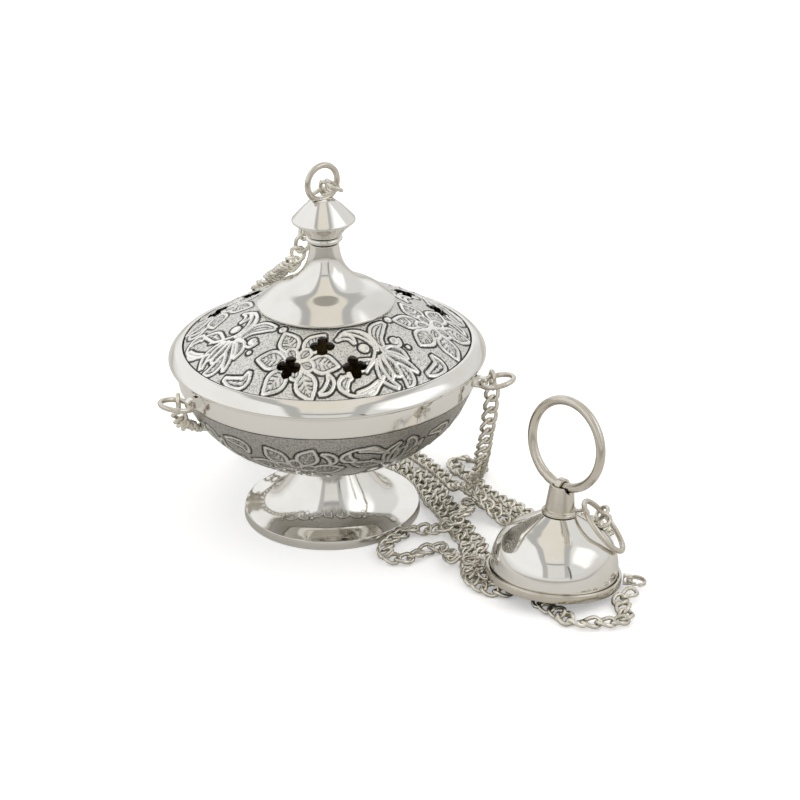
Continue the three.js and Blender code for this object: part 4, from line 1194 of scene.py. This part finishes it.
cap_axis = polar(CAP_LEAN_AZIMUTH, math.sin(CAP_LEAN), math.cos(CAP_LEAN))
cap_base = BURNER + Vector((*CAP_PLACE, CAP_RADIUS * math.sin(CAP_LEAN))) * MM
cap_turn = Vector((0, 0, 1)).rotation_difference(cap_axis).to_matrix().to_4x4()
on_cap = Matrix.Translation(cap_base) @ cap_turn
cap_silver = polished_silver("cap silver", cap_base, 0.06)
cap_flank = flank(
    (CAP_DOME_RADIUS, CAP_RIM_HEIGHT + 1.2),
    (CAP_FLANGE_RADIUS, CAP_DOME_HEIGHT),
    [
        (0, 0), (0.03, 0.218), (0.13, 0.446), (0.331, 0.644), (0.58, 0.782), (0.793, 0.891),
        (1, 1),
    ],
    10,
)
cap_outer = [(CAP_DOME_RADIUS, 0), *cap_flank]
cap_profile = [
    *cap_outer,
    (ROD_BORE, CAP_DOME_HEIGHT),
    (ROD_BORE, CAP_DOME_HEIGHT - WALL),
    (CAP_FLANGE_RADIUS, CAP_DOME_HEIGHT - WALL),
    *lining(cap_outer),
    (CAP_DOME_RADIUS - WALL, 0),
]
lift_out = polar(LIFT_AZIMUTH, math.cos(LIFT_ELEVATION), math.sin(LIFT_ELEVATION))
lift_side = Vector((-math.sin(LIFT_AZIMUTH), math.cos(LIFT_AZIMUTH), 0))
lift_hole = polar(LIFT_AZIMUTH, LIFT_SEAT_RADIUS, LIFT_SEAT_HEIGHT) + lift_side * LIFT_HOLE_OFFSET


def on_line(centre, along, places):
    """Points on a line through the cap, given in the cap's own millimetres."""
    return [on_cap @ ((centre + along * t) * MM) for t in places]


drill_line = on_line(lift_hole, lift_out, np.linspace(-6, 6, 4))
drill = wire_mesh(drill_line, LIFT_HOLE * MM, closed=False, sides=48)
drilled = cut(spun_mesh(eased(cap_profile, 0.3), on_cap), drill)
put("spun_cap_dome", drilled, cap_silver, "hand_cap", "cap_dome")
rim_inner = CAP_DOME_RADIUS + SEAT_GAP
cap_rim_profile = [
    (rim_inner, 0),
    (CAP_RADIUS - CAP_RIM_ROUND, 0),
    (CAP_RADIUS, CAP_RIM_HEIGHT * 0.5),
    (CAP_RADIUS - CAP_RIM_ROUND, CAP_RIM_HEIGHT),
    (rim_inner, CAP_RIM_HEIGHT),
]
rolled = spun_mesh(eased(cap_rim_profile, 0.8, 6), on_cap)
put("rolled_cap_rim", rolled, ring_finish, "hand_cap", "cap_rim")


# The collar is a turned tube with a flange, notched across its top where the finger ring lies.
# An eye bolt holds the ring in the notch and clamps the collar to the dome.
COLLAR_BASE = CAP_DOME_HEIGHT + SEAT_GAP
COLLAR_HEIGHT = 10.8
COLLAR_BORE = 3.4
FINGER_TURN = math.radians(-46)
NOTCH_RADIUS = 2.6
collar_profile = [
    (COLLAR_BORE, 0),
    (CAP_FLANGE_RADIUS, 0),
    (CAP_FLANGE_RADIUS, 1),
    (COLLAR_BORE + 2, 1.6),
    (COLLAR_BORE + 1, COLLAR_HEIGHT),
    (COLLAR_BORE, COLLAR_HEIGHT),
]
notch_centre = Vector((0, 0, COLLAR_BASE + COLLAR_HEIGHT + 0.5 - SEAT_GAP))
notch_line = on_line(notch_centre, polar(FINGER_TURN), np.linspace(-9, 9, 4))
notch = wire_mesh(notch_line, NOTCH_RADIUS * MM, closed=False, sides=48)
collar_mesh = spun_mesh(eased(raised(COLLAR_BASE, collar_profile), 0.3), on_cap, 96)
notched = cut(collar_mesh, notch)
put("turned_collar", notched, ring_finish, "hand_cap", "cap_collar")
put_eased("ring_eye_bolt", 0.25, ring_finish, "hand_cap")


# Three lugs are soldered to the cap's rim, and a split ring of two turns of wire in each takes
# the last link of a chain.
SPLIT_RING_RADIUS = 3.3
SPLIT_RING_WIRE = 0.42


def split_ring_line(node):
    """Two turns of wire side by side, with the step from one to the other at the back."""
    centre, long, short, through = loop_frame(node)
    angles = np.linspace(0, 2 * math.tau * 0.97, 120)
    step = np.clip((angles - math.tau * 0.80) / (math.tau * 0.34), 0, 1)
    shift = (step * step * (3 - 2 * step) * 2 - 1) * SPLIT_RING_WIRE * 1.02
    line = oval(centre, long, short, angles, SPLIT_RING_RADIUS, SPLIT_RING_RADIUS)
    return line + np.outer(shift, through) * MM


for i in (1, 2, 3):
    put_eased(f"cap_lug_{i}", 0.25, cap_silver, "hand_cap")
    node = f"cap_split_ring_{i}"
    mesh = wire_mesh(split_ring_line(node), SPLIT_RING_WIRE * MM, closed=False)
    put("wound_" + node, mesh, ring_finish, "hand_cap", node)


# Inside the dome hangs the straight run of the lid's chain, which slides out with the lift ring.
run_line = on_line(lift_hole, lift_out, (1.8, -5, -11, -17, -24))
run_points = [tuple((p - BURNER) / MM) for p in run_line]
inner_run, _, _ = chain("lift_chain_run", run_points, 20)
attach(inner_run, "lift_pull")
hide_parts("lift_chain")


# The studio: a white table in a white tent. Polished silver shows the tent's pale walls, and a
# strip of warm cloth up its front and over the roof, with grey shadows on both sides.
GREY_SEAM = (0.40, 0.395, 0.385)
WARM_CLOTH = (0.86, 0.825, 0.75)
PALE_CLOTH = (0.80, 0.79, 0.77)
DIM_WALL = (0.62, 0.615, 0.60)
LIT_WALL = (1.3, 1.3, 1.3)
DARK_EDGE = (0.10, 0.085, 0.06)
CLOTH_REACH = 0.27
SEAM_REACH = 0.42
TABLE_GLOW = 0.32
TENT_LIGHT = 0.96
# The walls' tones by height, from the table's level to the top of the tent
WALL_TONES = [
    (0.0, (0.60, 0.59, 0.565)),
    (0.08, (0.84, 0.835, 0.82)),
    (0.22, (1.0, 1.0, 0.995)),
    (0.58, (0.98, 0.98, 0.98)),
    (0.80, (1.0, 1.0, 1.0)),
    (1.0, (0.99, 0.99, 0.99)),
]


def plain_floor():
    """White to the eye and the light, and darker where the silver shows it."""
    finish = Finish("white table")
    seen = finish.node("LightPath", output="Is Camera Ray")
    glossy = finish.node("LightPath", output="Is Glossy Ray")
    _, across, _ = finish.place.split()
    far = ((-0.16 - across) * 5.0).clamp() * glossy
    colour = finish.blend(glossy, (0.86, 0.86, 0.86), (0.62, 0.605, 0.58))
    colour = finish.blend(far, colour, (0.40, 0.39, 0.37))
    matt = finish.node("BsdfDiffuse", {"Color": colour})
    glow = finish.node("Emission", {"Color": (1, 1, 1, 1), "Strength": seen * TABLE_GLOW})
    finish.node("OutputMaterial", {"Surface": finish.node("AddShader", [matt, glow])})
    return finish.material


floor_mesh = bpy.data.meshes.new("table")
floor_mesh.from_pydata([(-4, -4, 0), (4, -4, 0), (4, 4, 0), (-4, 4, 0)], [], [(0, 1, 2, 3)])
floor_mesh.materials.append(plain_floor())
table = add_object("table", floor_mesh)

world = bpy.data.worlds.new("studio")
world.use_nodes = True
scene.world = world
sky = Finish("studio", world.node_tree)
east, north, height = sky.node("TexCoord").split()
level = (east * east + north * north + 0.0001) ** 0.5
front = (0.0 - north) / level


def within(value, low, high, edge=0.03):
    """One between two values, with soft edges."""
    return ((value - low) / edge).clamp() * ((high - value) / edge).clamp()


shown = sky.node("ValToRGB", [height.clamp()])
tones = shown.socket.node.color_ramp.elements
while len(tones) < len(WALL_TONES):
    tones.new(0.5)
for tone, (place, colour) in zip(tones, WALL_TONES):
    tone.position = place
    tone.color = (*colour, 1)
strip = within(height, 0.10, 1.2, 0.08) * within(north, -1.2, 0.7, 0.1)
shown = sky.blend(within(east, -SEAM_REACH, SEAM_REACH, 0.04) * strip * 0.8, shown, GREY_SEAM)
cloth = sky.blend(within(height, 0.78, 1.2), PALE_CLOTH, WARM_CLOTH)
middle = within(east, -CLOTH_REACH, CLOTH_REACH)
shown = sky.blend(middle * strip, shown, cloth)
shown = sky.blend(middle * within(height, 0.66, 0.75), shown, GREY_SEAM)
shadow = within(east, 0.30, 1.2, 0.12) * within(height, 0.02, 0.97, 0.1) * 0.5
shown = sky.blend(shadow, shown, DIM_WALL)
lit = within(east, 0.42, 0.93, 0.1) * within(north, -0.6, 0.25, 0.12)
shown = sky.blend(lit * within(height, 0.25, 0.93, 0.1), shown, LIT_WALL)
edge = within(east / level, 0.40, 0.47, 0.02) * within(height, 0.06, 0.62, 0.08)
shown = sky.blend(edge * (front * 20.0).clamp(), shown, DARK_EDGE)
light = sky.node("Background", {"Color": shown, "Strength": TENT_LIGHT})
white = sky.node("Background", {"Color": (1, 1, 1, 1), "Strength": 1.0})
seen = sky.node("LightPath", output="Is Camera Ray")
sky.node("OutputWorld", {"Surface": sky.node("MixShader", [seen, light, white])})

# Each lamp: its name, place, size and power
LAMPS = [
    ("key", (-0.9, -0.6, 1.2), (1.6, 1.6), 5.0),
    ("fill", (1.1, -0.3, 0.9), (1.6, 1.2), 3.0),
    ("top", (0.0, 0.5, 1.4), (2.0, 1.6), 4.0),
]
LAMP_AIM = Vector((0, 0, 0.05))
for name, place, size, power in LAMPS:
    lamp = add_object(name, bpy.data.lights.new(name, "AREA"))
    lamp.data.shape = "RECTANGLE"
    lamp.data.size, lamp.data.size_y = size
    lamp.data.energy = power
    lamp.visible_glossy = False
    lamp.location = place
    lamp.rotation_euler = (LAMP_AIM - Vector(place)).to_track_quat("-Z", "Y").to_euler()

scene.view_settings.view_transform = "Standard"
